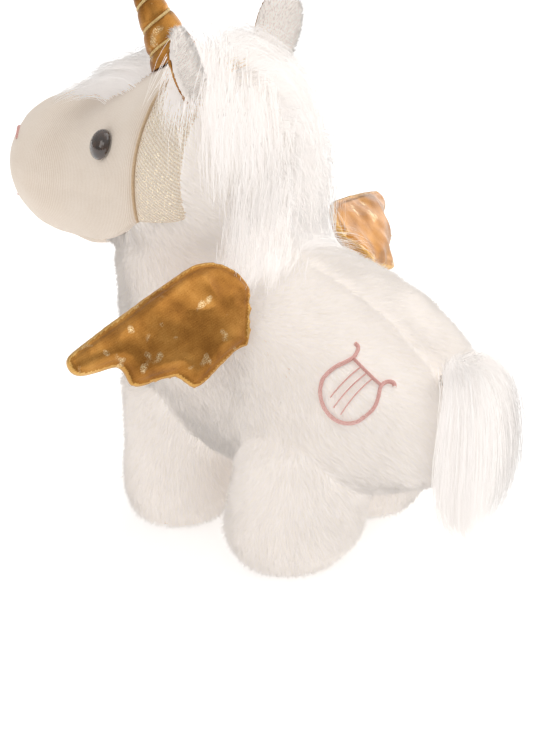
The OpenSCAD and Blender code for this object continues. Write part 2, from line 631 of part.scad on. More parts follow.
// The root seam turns about a line that stands just off the torso
hinge_r = 2.7;
wing_u = 3.97;
root_angle = asin(min(0.95, pow((wing_z - waist_z) / (waist_h / 2), 1 / back_power)));
wing_pin = torso_at(wing_u, root_angle, hinge_r + seam_gap);

// Point on the wing: s from root to tip, t from the trailing to the leading edge, off out of its plane
function wing_point(s, t, off) = let (p = mix(wing_edge(WING_TRAIL, s), wing_edge(WING_LEAD, s), t))
    wing_pin + p.x * wing_out + p.y * wing_up + off * wing_face;
function wing_grid(share, lift) = [for (s = WING_S) [for (t = WING_T)
    wing_point(s, t, lift + share * wing_thick(s, t))]];
module wing_half(dir) color("goldenrod") {
    outside = wing_grid(dir, dir * (seam_gap / 2 + lame_t));
    inside = wing_grid(dir, dir * seam_gap / 2);
    if (dir > 0) sheet(inside, outside); else sheet(outside, inside);
}
module wing_padding() color("white") {
    front = [for (s = span(0.04, 0.94, 16)) [for (t = span(0.06, 0.94, 6))
        wing_point(s, t, wing_thick(s, t) - 2 * seam_gap)]];
    back = [for (s = span(0.04, 0.94, 16)) [for (t = span(0.06, 0.94, 6))
        wing_point(s, t, 2 * seam_gap - wing_thick(s, t))]];
    sheet(back, front);
}
module wing_front_left() wing_half(1);
module wing_back_left() wing_half(-1);
module wing_front_right() right_side() wing_half(1);
module wing_back_right() right_side() wing_half(-1);
module wing_padding_left() wing_padding();
module wing_padding_right() right_side() wing_padding();

body_panel_left();
body_panel_right();
belly_panel();
body_stuffing();
leg_front_left();
leg_front_right();
leg_hind_left();
leg_hind_right();
leg_stuffing_front_left();
leg_stuffing_front_right();
leg_stuffing_hind_left();
leg_stuffing_hind_right();
sole_front_left();
sole_front_right();
sole_hind_left();
sole_hind_right();
head_panel_left();
head_panel_right();
face_panel_left();
face_panel_right();
muzzle_left();
muzzle_right();
muzzle_seam();
head_stuffing();
muzzle_stuffing();
nostril_left();
nostril_right();
mouth_stitch();
eye_left();
eye_right();
eye_washer_left();
eye_washer_right();
ear_outer_left();
ear_outer_right();
ear_lining_left();
ear_lining_right();
horn_cover();
horn_stuffing();
horn_thread();
mane();
forelock();
tail_tab();
tail_hair();
lyre_embroidery();
wing_front_left();
wing_front_right();
wing_back_left();
wing_back_right();
wing_padding_left();
wing_padding_right();
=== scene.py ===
import math
import bmesh
import bpy
import numpy as np
from mathutils import Matrix, Vector
from mathutils.bvhtree import BVHTree
from mathutils.kdtree import KDTree


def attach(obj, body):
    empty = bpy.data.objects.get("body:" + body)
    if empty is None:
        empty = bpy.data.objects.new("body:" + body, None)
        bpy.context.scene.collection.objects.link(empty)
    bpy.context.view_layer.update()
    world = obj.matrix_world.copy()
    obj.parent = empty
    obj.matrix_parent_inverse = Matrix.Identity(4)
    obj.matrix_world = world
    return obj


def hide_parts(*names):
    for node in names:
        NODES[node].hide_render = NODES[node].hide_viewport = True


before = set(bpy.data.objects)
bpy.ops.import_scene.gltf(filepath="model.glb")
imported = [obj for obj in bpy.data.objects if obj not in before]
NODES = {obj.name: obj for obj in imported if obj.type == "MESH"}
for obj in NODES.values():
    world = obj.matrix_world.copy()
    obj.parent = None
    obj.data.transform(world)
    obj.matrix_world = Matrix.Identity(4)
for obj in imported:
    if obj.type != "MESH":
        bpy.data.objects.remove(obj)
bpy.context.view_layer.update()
scene = bpy.context.scene
MM = 0.001
SIDES = (("left", 1), ("right", -1))
LEGS = ("front_left", "front_right", "hind_left", "hind_right")


# ---- Camera, light and floor ----

def place_camera(azimuth, elevation, distance, aim, slide):
    a, e = math.radians(azimuth), math.radians(elevation)
    back = Vector((math.sin(a) * math.cos(e), -math.cos(a) * math.cos(e), math.sin(e)))
    right = Vector((math.cos(a), math.sin(a), 0))
    up = back.cross(right)
    turn = Matrix((right, up, back)).transposed().to_4x4()
    centre = Vector(aim) + right * slide[0] + up * slide[1]
    data = bpy.data.cameras.new("camera")
    data.sensor_fit = "HORIZONTAL"
    data.sensor_width = 36
    data.lens = 127.8
    data.clip_start = 0.01
    cam = bpy.data.objects.new("camera", data)
    scene.collection.objects.link(cam)
    cam.matrix_world = Matrix.Translation(centre + back * distance) @ turn
    scene.camera = cam


place_camera(azimuth=125, elevation=26, distance=0.9, aim=(0, 0.012, 0.07), slide=(-0.0027, 0.0045))
scene.view_settings.view_transform = "Standard"


# ---- Node expressions ----

class Wire:
    """A socket that takes part in sums."""

    def __init__(self, finish, socket):
        self.finish, self.socket = finish, socket

    def sum(self, operation, *others):
        return self.finish.node("ShaderNodeMath", {"operation": operation},
                                {i: v for i, v in enumerate((self,) + others)})

    def __add__(self, other):
        return self.sum("ADD", other)

    def __mul__(self, other):
        return self.sum("MULTIPLY", other)

    def __sub__(self, other):
        return self.sum("SUBTRACT", other)

    def __rsub__(self, other):
        return self * -1 + other

    def sine(self):
        return self.sum("SINE")

    def above(self, level):
        return self.sum("GREATER_THAN", level)

    def clipped(self):
        held = self.sum("MULTIPLY", 1.0)
        held.socket.node.use_clamp = True
        return held


class Finish:
    """A material on one Principled shader."""

    def __init__(self, name, **constants):
        self.material = bpy.data.materials.new(name)
        self.material.use_nodes = True
        self.tree = self.material.node_tree
        self.shader = self.tree.nodes["Principled BSDF"]
        for key, value in constants.items():
            self.shader.inputs[key.replace("_", " ")].default_value = value

    def node(self, kind, settings=None, inputs=None, output=0):
        made = self.tree.nodes.new(kind)
        for key, value in (settings or {}).items():
            if key == "stops":
                ramp = made.color_ramp
                while len(ramp.elements) < len(value):
                    ramp.elements.new(0.5)
                for stop, (place, colour) in zip(ramp.elements, value):
                    stop.position, stop.color = place, (*colour, 1)
            else:
                setattr(made, key, value)
        for key, value in (inputs or {}).items():
            if isinstance(value, Wire):
                self.tree.links.new(value.socket, made.inputs[key])
            else:
                made.inputs[key].default_value = value
        return Wire(self, made.outputs[output])

    def place(self):
        return self.node("ShaderNodeTexCoord", output="Object")

    def part(self, vector, axis):
        return self.node("ShaderNodeSeparateXYZ", inputs={0: vector}, output=axis)

    def grain(self, size, detail=2.0, vector=None, roughness=0.5):
        return self.node("ShaderNodeTexNoise", {"noise_dimensions": "3D"}, {
            "Vector": vector or self.place(), "Scale": 1 / size, "Detail": detail, "Roughness": roughness})

    def ramp(self, factor, stops):
        return self.node("ShaderNodeValToRGB", {"stops": stops}, {0: factor})

    def mix(self, factor, one, other):
        four = [v if isinstance(v, Wire) else (*v, 1) for v in (one, other)]
        return self.node("ShaderNodeMix", {"data_type": "RGBA"}, {0: factor, 6: four[0], 7: four[1]},
                         output=2)

    def wave(self, distance, length):
        """Runs from 0 to 1 and back over each length of a distance."""
        return (distance * (2 * math.pi / length)).sine() * 0.5 + 0.5

    def bump(self, height, depth, strength=1.0):
        return self.node("ShaderNodeBump", {}, {"Height": height, "Distance": depth, "Strength": strength})

    def feed(self, **links):
        for key, wire in links.items():
            self.tree.links.new(wire.socket, self.shader.inputs[key.replace("_", " ")])
        return self.material


def plain(name, colour, roughness, **constants):
    return Finish(name, Base_Color=(*colour, 1), Roughness=roughness, **constants).material


def fibre_tints(name, tints, roughness, gloss, sheen, sheen_roughness, glow):
    """Plain tints for fine fibres. The glow stands for light that passes from hair to hair."""
    return [plain(f"{name}_{i}", t, roughness, Specular_IOR_Level=gloss, Sheen_Weight=sheen,
                  Sheen_Roughness=sheen_roughness, Emission_Color=(*t, 1), Emission_Strength=glow)
            for i, t in enumerate(tints)]


def backing_cloth(name):
    f = Finish(name, Roughness=0.9, Specular_IOR_Level=0.2)
    tone = f.grain(0.004, 3)
    return f.feed(Base_Color=f.ramp(tone, [(0.3, (0.78, 0.72, 0.67)), (0.7, (0.86, 0.81, 0.77))]),
                  Normal=f.bump(tone, 0.0006))


def ribbed_velour():
    """Fine ribs that run round the muzzle, with a soft nap between them."""
    f = Finish("ribbed_velour", Specular_IOR_Level=0.25, Sheen_Weight=0.35, Sheen_Roughness=0.45)
    spot = f.place()
    wander = f.grain(0.02, 1, spot)
    rib = f.wave(f.part(spot, 1) + wander * 0.0012, 0.0011)
    short_of_nose = ((f.part(spot, 1) + 0.122) * 40).clipped()
    rib = (rib - 0.5) * short_of_nose + 0.5
    nap = f.grain(0.0007, 2, spot)
    cloud = f.grain(0.018, 2, spot)
    shade = rib * 0.35 + nap * 0.35 + cloud * 0.3
    colour = f.ramp(shade, [(0.25, (0.70, 0.585, 0.475)), (0.5, (0.79, 0.685, 0.58)),
                            (0.8, (0.86, 0.77, 0.68))])
    return f.feed(Base_Color=colour, Roughness=nap * 0.2 + 0.68,
                  Normal=f.bump(rib * 0.7 + nap * 0.5, 0.00022, 0.8))


def sparkle_knit():
    """Slanted knit rows in beige with bright metallic specks."""
    f = Finish("sparkle_knit", Specular_IOR_Level=0.4)
    spot = f.place()
    row = f.wave(f.part(spot, 2) * 0.8 + f.part(spot, 1) * 0.6, 0.0013)
    stitch = f.wave(f.part(spot, 1) * 0.8 - f.part(spot, 2) * 0.6, 0.0009)
    glint = f.node("ShaderNodeTexVoronoi", {}, {"Vector": spot, "Scale": 1 / 0.00042}, output="Color")
    pick = f.part(glint, 0)
    flake = pick.above(0.84)
    yarn = f.ramp(row * 0.6 + f.grain(0.0006, 2, spot) * 0.4,
                  [(0.2, (0.80, 0.66, 0.51)), (0.6, (0.91, 0.79, 0.66)), (0.9, (0.95, 0.87, 0.77))])
    colour = f.mix(flake, yarn, (0.98, 0.86, 0.66))
    height = row * 0.6 + stitch * 0.3 + pick * 0.8
    return f.feed(Base_Color=colour, Metallic=flake * 0.9 + row * 0.05, Roughness=0.62 - flake * 0.42,
                  Normal=f.bump(height, 0.0004, 0.9))


# Pale foil colour mixed in as painted glints, a painted highlight.
PAINTED_GLINT = (0.98, 0.82, 0.50)


def gold_lame(name, deep, mid, pale):
    """Metal-coated cloth: a grain of tiny dents over soft clouds of darker and paler foil, with painted
    glints of pale foil.
    """
    f = Finish(name, Specular_IOR_Level=0.5, IOR=1.5)
    spot = f.place()
    speck = f.grain(0.00045, 3, spot, 0.7)
    cloud = f.grain(0.013, 3, spot, 0.55)
    weave = f.wave(f.part(spot, 2) - f.part(spot, 0) * 0.6, 0.0007)
    tone = cloud * 0.62 + speck * 0.3 + weave * 0.08
    # Painted highlight: small patches mixed towards pale foil colour stand in for glints, with lower
    # roughness there.
    glint = ((f.grain(0.0075, 1, spot) - 0.64) * 14).clipped() * speck.above(0.5)
    colour = f.mix(glint * 0.6, f.ramp(tone, [(0.33, deep), (0.5, mid), (0.68, pale)]), PAINTED_GLINT)
    return f.feed(Base_Color=colour, Metallic=cloud * 0.1 + 0.82, Roughness=speck * 0.22 + 0.2 - glint * 0.08,
                  Normal=f.bump(speck * 0.8 + weave * 0.2, 0.00016, 0.8))


def grained(name, size, detail, stops, rough, more, depth=0.0, harsh=0.5, **constants):
    """Material with one fine grain, which adds up to more to its roughness and depth to its height."""
    f = Finish(name, **constants)
    grain = f.grain(size, detail, None, harsh)
    if depth:
        f.feed(Normal=f.bump(grain, depth))
    return f.feed(Base_Color=f.ramp(grain, stops), Roughness=grain * more + rough)


def satin_thread(name, dark, light):
    return grained(name, 0.0005, 2, [(0.3, dark), (0.7, light)], 0.38, 0.25, 0.00008,
                   Specular_IOR_Level=0.5, Sheen_Weight=0.2, Sheen_Roughness=0.3)


FUR = fibre_tints("fur_pile", ((0.85, 0.79, 0.74), (0.84, 0.775, 0.72), (0.86, 0.81, 0.765),
                               (0.825, 0.755, 0.695)), 0.8, 0.25, 0.25, 0.5, 0.31)
HAIR = fibre_tints("silky_hair", ((0.86, 0.815, 0.785), (0.875, 0.84, 0.815), (0.84, 0.785, 0.745)),
                   0.42, 0.4, 0.15, 0.4, 0.36)
FUR_SHARES, HAIR_SHARES = [0.45, 0.27, 0.2, 0.08], [0.5, 0.33, 0.17]
BACKING = backing_cloth("fur_backing")
VELOUR = ribbed_velour()
KNIT = sparkle_knit()
LAME = gold_lame("gold_lame", (0.21, 0.08, 0.012), (0.385, 0.165, 0.031), (0.56, 0.28, 0.07))
# Paler copy of the gold lamé for the wing's rim: painted highlight where the edges catch the light.
RIM_HIGHLIGHT = gold_lame("gold_rim_painted_highlight", (0.48, 0.24, 0.06), (0.64, 0.36, 0.10), (0.82, 0.54, 0.22))
FELT = grained("sole_felt", 0.0012, 4, [(0.3, (0.76, 0.69, 0.60)), (0.7, (0.88, 0.83, 0.76))], 0.8, 0.15,
               0.0005, 0.7, Specular_IOR_Level=0.2, Sheen_Weight=0.2)
TAB = backing_cloth("tab_cloth")
PINK = satin_thread("pink_thread", (0.66, 0.30, 0.27), (0.92, 0.58, 0.53))
TAN = satin_thread("tan_thread", (0.62, 0.43, 0.25), (0.80, 0.63, 0.43))
GOLD_THREAD = satin_thread("gold_thread", (0.50, 0.32, 0.10), (0.85, 0.64, 0.30))


def light(name, size, power, place, aim, colour=(1, 1, 1)):
    data = bpy.data.lights.new(name, "AREA")
    data.shape, data.size, data.energy, data.color = "SQUARE", size, power, colour
    lamp = bpy.data.objects.new(name, data)
    scene.collection.objects.link(lamp)
    lamp.location = place
    lamp.rotation_euler = (Vector(aim) - Vector(place)).to_track_quat("-Z", "Y").to_euler()


def build_light():
    world = bpy.data.worlds.new("studio")
    scene.world = world
    world.use_nodes = True
    tree = world.node_tree
    coord = tree.nodes.new("ShaderNodeTexCoord")
    up = tree.nodes.new("ShaderNodeSeparateXYZ")
    ramp = tree.nodes.new("ShaderNodeValToRGB")
    tree.links.new(coord.outputs["Generated"], up.inputs[0])
    tree.links.new(up.outputs[2], ramp.inputs[0])
    stops = ((0.0, (0.62, 0.60, 0.58)), (0.35, (0.70, 0.69, 0.68)), (0.75, (1.0, 1.0, 1.0)))
    while len(ramp.color_ramp.elements) < len(stops):
        ramp.color_ramp.elements.new(0.5)
    for stop, (at, colour) in zip(ramp.color_ramp.elements, stops):
        stop.position, stop.color = at, (*colour, 1)
    tree.links.new(ramp.outputs[0], tree.nodes["Background"].inputs[0])
    tree.nodes["Background"].inputs[1].default_value = 0.72
    light("top_softbox", 1.1, 3.9, (-0.25, 0.25, 1.15), (0, 0, 0.08))
    light("rear_softbox", 0.7, 1.9, (-0.75, 0.55, 0.55), (0, 0, 0.1), (1.0, 0.97, 0.93))
    light("side_softbox", 0.6, 1.6, (0.95, -0.35, 0.65), (0, 0, 0.08), (1.0, 0.96, 0.92))
    light("far_softbox", 0.8, 3.2, (-1.05, 0.0, 0.2), (-0.06, 0.02, 0.13), (1.0, 0.97, 0.93))


def build_floor():
    mesh = bpy.data.meshes.new("floor")
    mesh.from_pydata([(-4, -4, 0), (4, -4, 0), (4, 4, 0), (-4, 4, 0)], [], [(0, 1, 2, 3)])
    floor = bpy.data.objects.new("floor", mesh)
    scene.collection.objects.link(floor)
    mesh.materials.append(grained("pale_floor", 0.4, 1, [(0.0, (0.93,) * 3), (1.0, (0.94,) * 3)], 0.9, 0.02,
                                  Specular_IOR_Level=0.1, Emission_Strength=0.36,
                                  Emission_Color=(1, 1, 1, 1)))


build_light()
build_floor()


# ---- Forms ----

def spline(rows, u):
    """Smooth curve through a table's rows at places u."""
    rows, u = np.asarray(rows, float), np.atleast_1d(np.asarray(u, float))
    last = len(rows) - 1
    i = np.clip(np.floor(u).astype(int), 0, last - 1)
    f = (u - i)[:, None]
    p0, p1, p2, p3 = rows[np.maximum(i - 1, 0)], rows[i], rows[i + 1], rows[np.minimum(i + 2, last)]
    return 0.5 * (2 * p1 + (p2 - p0) * f + (2 * p0 - 5 * p1 + 4 * p2 - p3) * f ** 2
                  + (3 * p1 - p0 - 3 * p2 + p3) * f ** 3)


# Sections in mm. Along the torso: y, z, half width, half depth and tilt.
# Along the head: y, z, half width and half height.
SPINE = [(107, 73.5, 1, 1, -20), (102, 73.5, 29.7, 22.1, -15), (88, 74.5, 46.2, 31.45, -9),
         (63, 75.5, 55, 42.5, 0), (25, 81.5, 54, 49.5, 0), (-13, 83.5, 50, 49.5, 8),
         (-33, 105.75, 47, 43.75, 34), (-38, 136, 44, 38, 66)]
HEAD = [(13, 171, 1, 1), (7.7, 171, 25.5, 25.5), (-9, 170, 44.9, 44.1), (-31, 168, 51, 49),
        (-51.2, 162.8, 45.9, 44.1), (-81.5, 156, 37, 34.3), (-105.7, 153, 36.3, 33),
        (-125.9, 152, 24.4, 22.4), (-132, 152, 1, 1)]
BACK_POWER = 0.83
HEAD_SEAM, HEAD_NOSE, JAW_ANGLE = 3.0, 8.0, -19.0


def torso_skin(u, a):
    s = spline(SPINE, u)
    a = np.radians(a)
    ca, sa = np.cos(a), np.sin(a)
    square = np.where(sa > 0, BACK_POWER, 1.0)
    x = s[:, 2] * np.sign(ca) * np.abs(ca) ** square
    up = s[:, 3] * np.sign(sa) * np.abs(sa) ** square
    tilt = np.radians(s[:, 4])
    return np.stack([x, s[:, 0] + up * np.sin(tilt), s[:, 1] + up * np.cos(tilt)], 1)


def head_skin(u, a):
    s = spline(HEAD, u)
    a = np.radians(a)
    return np.stack([s[:, 2] * np.cos(a), s[:, 0], s[:, 1] + s[:, 3] * np.sin(a)], 1)


def skin_at(skin, last, u, a, off):
    """Point of a skin moved out by off, and the outward normal there."""
    u, a = np.broadcast_arrays(np.atleast_1d(np.asarray(u, float)), np.atleast_1d(np.asarray(a, float)))
    k = np.clip(u, 0.06, last - 0.06)
    du = skin(k + 0.05, a) - skin(k - 0.05, a)
    da = skin(k, a + 1) - skin(k, a - 1)
    n = np.cross(da, du)
    n /= np.linalg.norm(n, axis=1)[:, None]
    return skin(u, a) + np.reshape(off, (-1, 1)) * n, n


def head_at(u, a, off=0.0):
    return skin_at(head_skin, HEAD_NOSE, u, a, off)


def torso_at(u, a, off=0.0):
    return skin_at(torso_skin, len(SPINE) - 1.0, u, a, off)


def unit(v):
    return v / np.maximum(np.linalg.norm(v, axis=-1, keepdims=True), 1e-12)


def across(p, n, side):
    """Points and normals, mirrored to the right where side is -1."""
    flip = np.ones(p.shape)
    flip[:, 0] = side
    return p * flip, n * flip


def run_of(line):
    """Distance along a line to each of its points."""
    return np.concatenate([[0], np.cumsum(np.linalg.norm(np.diff(line, axis=0), axis=1))])


def read_at(at, run, values):
    """Values of a line's points at distances along it."""
    return np.stack([np.interp(at, run, values[:, k]) for k in range(values.shape[1])], 1)


def lattice(points, size, seed):
    """Smooth random value from -1 to 1 at each point (mm), changing over about size mm."""
    table = np.random.default_rng(seed).uniform(-1, 1, (32, 32, 32))
    q = points / size + 100.0
    i = np.floor(q).astype(int)
    f = q - i
    f = f * f * (3 - 2 * f)
    total = 0.0
    for dx in (0, 1):
        for dy in (0, 1):
            for dz in (0, 1):
                w = (np.where(dx, f[:, 0], 1 - f[:, 0]) * np.where(dy, f[:, 1], 1 - f[:, 1])
                     * np.where(dz, f[:, 2], 1 - f[:, 2]))
                total = total + w * table[(i[:, 0] + dx) % 32, (i[:, 1] + dy) % 32, (i[:, 2] + dz) % 32]
    return total


def lattice_way(points, size, seed):
    return np.stack([lattice(points, size, seed + k) for k in range(3)], 1)


def piece(name, verts, faces, materials, body, replaced=(), flags=None):
    """New object from points in mm, on a body."""
    mesh = bpy.data.meshes.new(name)
    mesh.from_pydata((np.asarray(verts) * MM).tolist(), [], faces)
    if flags is not None:
        mesh.polygons.foreach_set("material_index", np.asarray(flags, np.int32))
    mesh.polygons.foreach_set("use_smooth", [True] * len(mesh.polygons))
    mesh.update()
    obj = bpy.data.objects.new(name, mesh)
    scene.collection.objects.link(obj)
    return finish_piece(obj, materials, body, replaced)


def finish_piece(obj, materials, body, replaced=()):
    for m in materials if isinstance(materials, (list, tuple)) else [materials]:
        obj.data.materials.append(m)
    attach(obj, body)
    if replaced:
        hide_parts(*replaced)
    return obj


def applied(obj):
    """The object's mesh with its modifiers made real."""
    bpy.context.view_layer.update()
    deps = bpy.context.evaluated_depsgraph_get()
    mesh = bpy.data.meshes.new_from_object(obj.evaluated_get(deps))
    old = obj.data
    obj.modifiers.clear()
    obj.data = mesh
    bpy.data.meshes.remove(old)
    return obj


def arrays(mesh):
    co = np.empty(len(mesh.vertices) * 3)
    mesh.vertices.foreach_get("co", co)
    return co.reshape(-1, 3) / MM


def normals(mesh):
    no = np.empty(len(mesh.vertices) * 3)
    mesh.vertices.foreach_get("normal", no)
    return no.reshape(-1, 3)


def put(mesh, co):
    mesh.vertices.foreach_set("co", (co * MM).ravel())
    mesh.update()


def thicken(obj, thick):
    mod = obj.modifiers.new("cloth", "SOLIDIFY")
    mod.thickness, mod.offset = thick * MM, -1
    return applied(obj)


def subdivided(obj):
    mod = obj.modifiers.new("round", "SUBSURF")
    mod.levels = mod.render_levels = 1
    return applied(obj)


def joined(meshes):
    """Points and faces of several meshes together, and which mesh each face is from."""
    verts, faces, owner, base = [], [], [], 0
    for k, mesh in enumerate(meshes):
        verts.append(arrays(mesh))
        faces += [[base + v for v in p.vertices] for p in mesh.polygons]
        owner += [k] * len(mesh.polygons)
        base += len(mesh.vertices)
    return np.concatenate(verts), faces, owner


def chosen(polys, wanted):
    """The vertices that some faces use, and those faces numbered by them."""
    faces = [polys[i] for i in np.nonzero(wanted)[0]]
    used = sorted({v for f in faces for v in f})
    index = {v: i for i, v in enumerate(used)}
    return used, [[index[v] for v in f] for f in faces]


def wall(rows, cols):
    """Faces of a closed tube of points, with both ends shut."""
    faces = [[i * cols + j, i * cols + (j + 1) % cols, (i + 1) * cols + (j + 1) % cols, (i + 1) * cols + j]
             for i in range(rows - 1) for j in range(cols)]
    return faces + [list(range(cols))[::-1], [(rows - 1) * cols + j for j in range(cols)]]


def from_nodes(name, nodes, voxel):
    """One closed form around several CAD nodes."""
    points, faces, _ = joined([NODES[n].data for n in nodes])
    mesh = bpy.data.meshes.new(name)
    mesh.from_pydata((points * MM).tolist(), [], faces)
    obj = bpy.data.objects.new(name, mesh)
    scene.collection.objects.link(obj)
    mod = obj.modifiers.new("voxels", "REMESH")
    mod.mode, mod.voxel_size, mod.use_smooth_shade = "VOXEL", voxel * MM, True
    applied(obj)
    keep_largest(obj.data)
    return obj


def keep_largest(mesh):
    """Drops every loose shell but the largest."""
    bm = bmesh.new()
    bm.from_mesh(mesh)
    left, shells = set(bm.verts), []
    while left:
        stack, shell = [left.pop()], []
        while stack:
            v = stack.pop()
            shell.append(v)
            fresh = {e.other_vert(v) for e in v.link_edges} & left
            left -= fresh
            stack += fresh
        shells.append(shell)
    shells.sort(key=len)
    bmesh.ops.delete(bm, geom=[v for shell in shells[:-1] for v in shell], context="VERTS")
    bm.to_mesh(mesh)
    bm.free()
    mesh.update()


def relax(mesh, times, hold=None, back=-0.5):
    """Even the surface out; hold is a share per vertex that stays, and back the size of every second step."""
    co = arrays(mesh)
    e = np.empty(len(mesh.edges) * 2, int)
    mesh.edges.foreach_get("vertices", e)
    e = e.reshape(-1, 2)
    count = np.bincount(e.ravel(), minlength=len(co))[:, None]
    for turn in range(times):
        total = np.stack([np.bincount(e[:, 0], co[e[:, 1], k], len(co))
                          + np.bincount(e[:, 1], co[e[:, 0], k], len(co)) for k in range(3)], 1)
        step = 0.6 if turn % 2 == 0 else back
        move = (total / count - co) * step
        co = co + (move if hold is None else move * (1 - hold)[:, None])
    put(mesh, co)


def sheet_piece(name, points, inward, thick, material, body, replaced=()):
    """Cloth between a grid of points and the same grid moved inward."""
    rows, cols = points.shape[:2]
    outer, inner = points.reshape(-1, 3), (points + inward * thick).reshape(-1, 3)
    n = rows * cols
    faces = []
    for i in range(rows - 1):
        for j in range(cols - 1):
            a, b = i * cols + j, i * cols + j + 1
            faces += [[a, b, b + cols, a + cols], [n + a + cols, n + b + cols, n + b, n + a]]
    edge = ([(0, j) for j in range(cols - 1)] + [(i, cols - 1) for i in range(rows - 1)]
            + [(rows - 1, j) for j in range(cols - 1, 0, -1)] + [(i, 0) for i in range(rows - 1, 0, -1)])
    ids = [i * cols + j for i, j in edge]
    faces += [[p, n + p, n + q, q] for p, q in zip(ids, ids[1:] + ids[:1])]
    return piece(name, np.concatenate([outer, inner]), faces, material, body, replaced)


# ---- Fur ----

FUR_NODES = ["body_panel_left", "body_panel_right", "belly_panel", *(f"leg_{leg}" for leg in LEGS),
             "head_panel_left", "head_panel_right"]
SMOOTH_NODES = ["face_panel_left", "face_panel_right", "muzzle_left", "muzzle_right"]
STUFFED = ["body_stuffing", *(f"leg_stuffing_{leg}" for leg in LEGS), "head_stuffing", "muzzle_stuffing"]
CLOTH_PIECES = ("muzzle_cloth_left", "muzzle_cloth_right", "face_knit_left", "face_knit_right")
FIRST_LEG, LAST_LEG = 3, 6
PILE = 5.5
MOST_FIBRES = 60000
FLAT = 0.45
NO_CLOTH = 99
CLOTH_GAP = 2.6
MARK_REACH = 45


def surface_tree(meshes):
    """Nearest-surface search over meshes, with the mesh each face is from."""
    points, faces, owner = joined(meshes)
    return BVHTree.FromPolygons(points.tolist(), faces), owner


def owners(tree, owner, points):
    return np.array([owner[tree.find_nearest(p)[2]] for p in points.tolist()])


def scatter(mesh, density, seed):
    """Random places on a mesh: points, smooth normals."""
    draw = np.random.default_rng(seed)
    mesh.calc_loop_triangles()
    tri = np.empty(len(mesh.loop_triangles) * 3, int)
    mesh.loop_triangles.foreach_get("vertices", tri)
    tri = tri.reshape(-1, 3)
    co, no = arrays(mesh), normals(mesh)
    a, b, c = co[tri[:, 0]], co[tri[:, 1]], co[tri[:, 2]]
    area = np.linalg.norm(np.cross(b - a, c - a), axis=1) / 2
    count = int(area.sum() * density)
    pick = draw.choice(len(tri), count, p=area / area.sum())
    r = draw.random((count, 2))
    r = np.where((r.sum(1) > 1)[:, None], 1 - r, r)
    w = np.stack([1 - r.sum(1), r[:, 0], r[:, 1]], 1)
    p = (co[tri[pick]] * w[:, :, None]).sum(1)
    n = unit((no[tri[pick]] * w[:, :, None]).sum(1))
    return p, n


def nearest(points, targets):
    """Index of the nearest target, and how far it is."""
    tree = KDTree(len(targets))
    for i, t in enumerate(targets.tolist()):
        tree.insert(t, i)
    tree.balance()
    found = [tree.find(p) for p in points.tolist()]
    return np.array([f[1] for f in found]), np.array([f[2] for f in found])


def strand_piece(name, line, radius, normal, shade, material, body, replaced=(), round_off=0.35):
    """Tapering fibres with three sides. line has the points of each fibre, and the last is its tip."""
    count, rings = len(line), line.shape[1] - 1
    step = unit(np.diff(line, axis=1))
    side = unit(np.cross(step, normal[:, None]) + 1e-6)
    rise = np.cross(step, side)
    turn = np.arange(3) * 2 * math.pi / 3 - math.pi / 6 + 0.35 * np.sin(np.arange(count) * 2.4)[:, None]
    turn = turn[:, None, :, None]
    out = np.cos(turn) * side[:, :, None] + FLAT * np.sin(turn) * rise[:, :, None]
    walls = line[:, :-1, None] + out * radius[:, :, None, None]
    verts = np.concatenate([walls.reshape(count, -1, 3), line[:, -1:]], 1)
    shading = unit(normal[:, None, None] + round_off * out).reshape(count, -1, 3)
    shading = np.concatenate([shading, normal[:, None]], 1)
    sides = [(j, (j + 1) % 3) for j in range(3)]
    quads = [[k * 3 + a, k * 3 + b, k * 3 + 3 + b, k * 3 + 3 + a]
             for k in range(rings - 1) for a, b in sides]
    tips = [[rings * 3 - 3 + a, rings * 3 - 3 + b, rings * 3] for a, b in sides]
    corners = np.array([v for f in quads + tips for v in f])
    starts = np.cumsum([0] + [len(f) for f in quads + tips])[:-1]
    per, faces = rings * 3 + 1, len(quads) + 3
    mesh = bpy.data.meshes.new(name)
    mesh.vertices.add(count * per)
    mesh.vertices.foreach_set("co", (verts * MM).ravel())
    mesh.loops.add(count * len(corners))
    mesh.loops.foreach_set("vertex_index", (np.arange(count)[:, None] * per + corners).ravel())
    mesh.polygons.add(count * faces)
    mesh.polygons.foreach_set("loop_start", (np.arange(count)[:, None] * len(corners) + starts).ravel())
    mesh.polygons.foreach_set("material_index", np.repeat(shade, faces).astype(np.int32))
    mesh.polygons.foreach_set("use_smooth", np.ones(count * faces, bool))
    mesh.update(calc_edges=True)
    mesh.normals_split_custom_set_from_vertices(shading.reshape(-1, 3))
    obj = bpy.data.objects.new(name, mesh)
    scene.collection.objects.link(obj)
    obj.visible_shadow = False
    return finish_piece(obj, material, body, replaced)


def comb_field(p, on_leg):
    """Direction in which the pile lies: back along the torso and head, down the legs."""
    wish = np.tile([0.0, 0.86, -0.5], (len(p), 1))
    wish[on_leg] = [0.0, 0.12, -1.0]
    low = np.clip((46 - p[:, 2]) / 24, 0, 1)[:, None]
    wish = wish * (1 - low) + np.array([0.0, 0.2, -1.0]) * low
    return wish + 0.5 * lattice_way(p, 22, 31) + 0.25 * lattice_way(p, 7, 34)


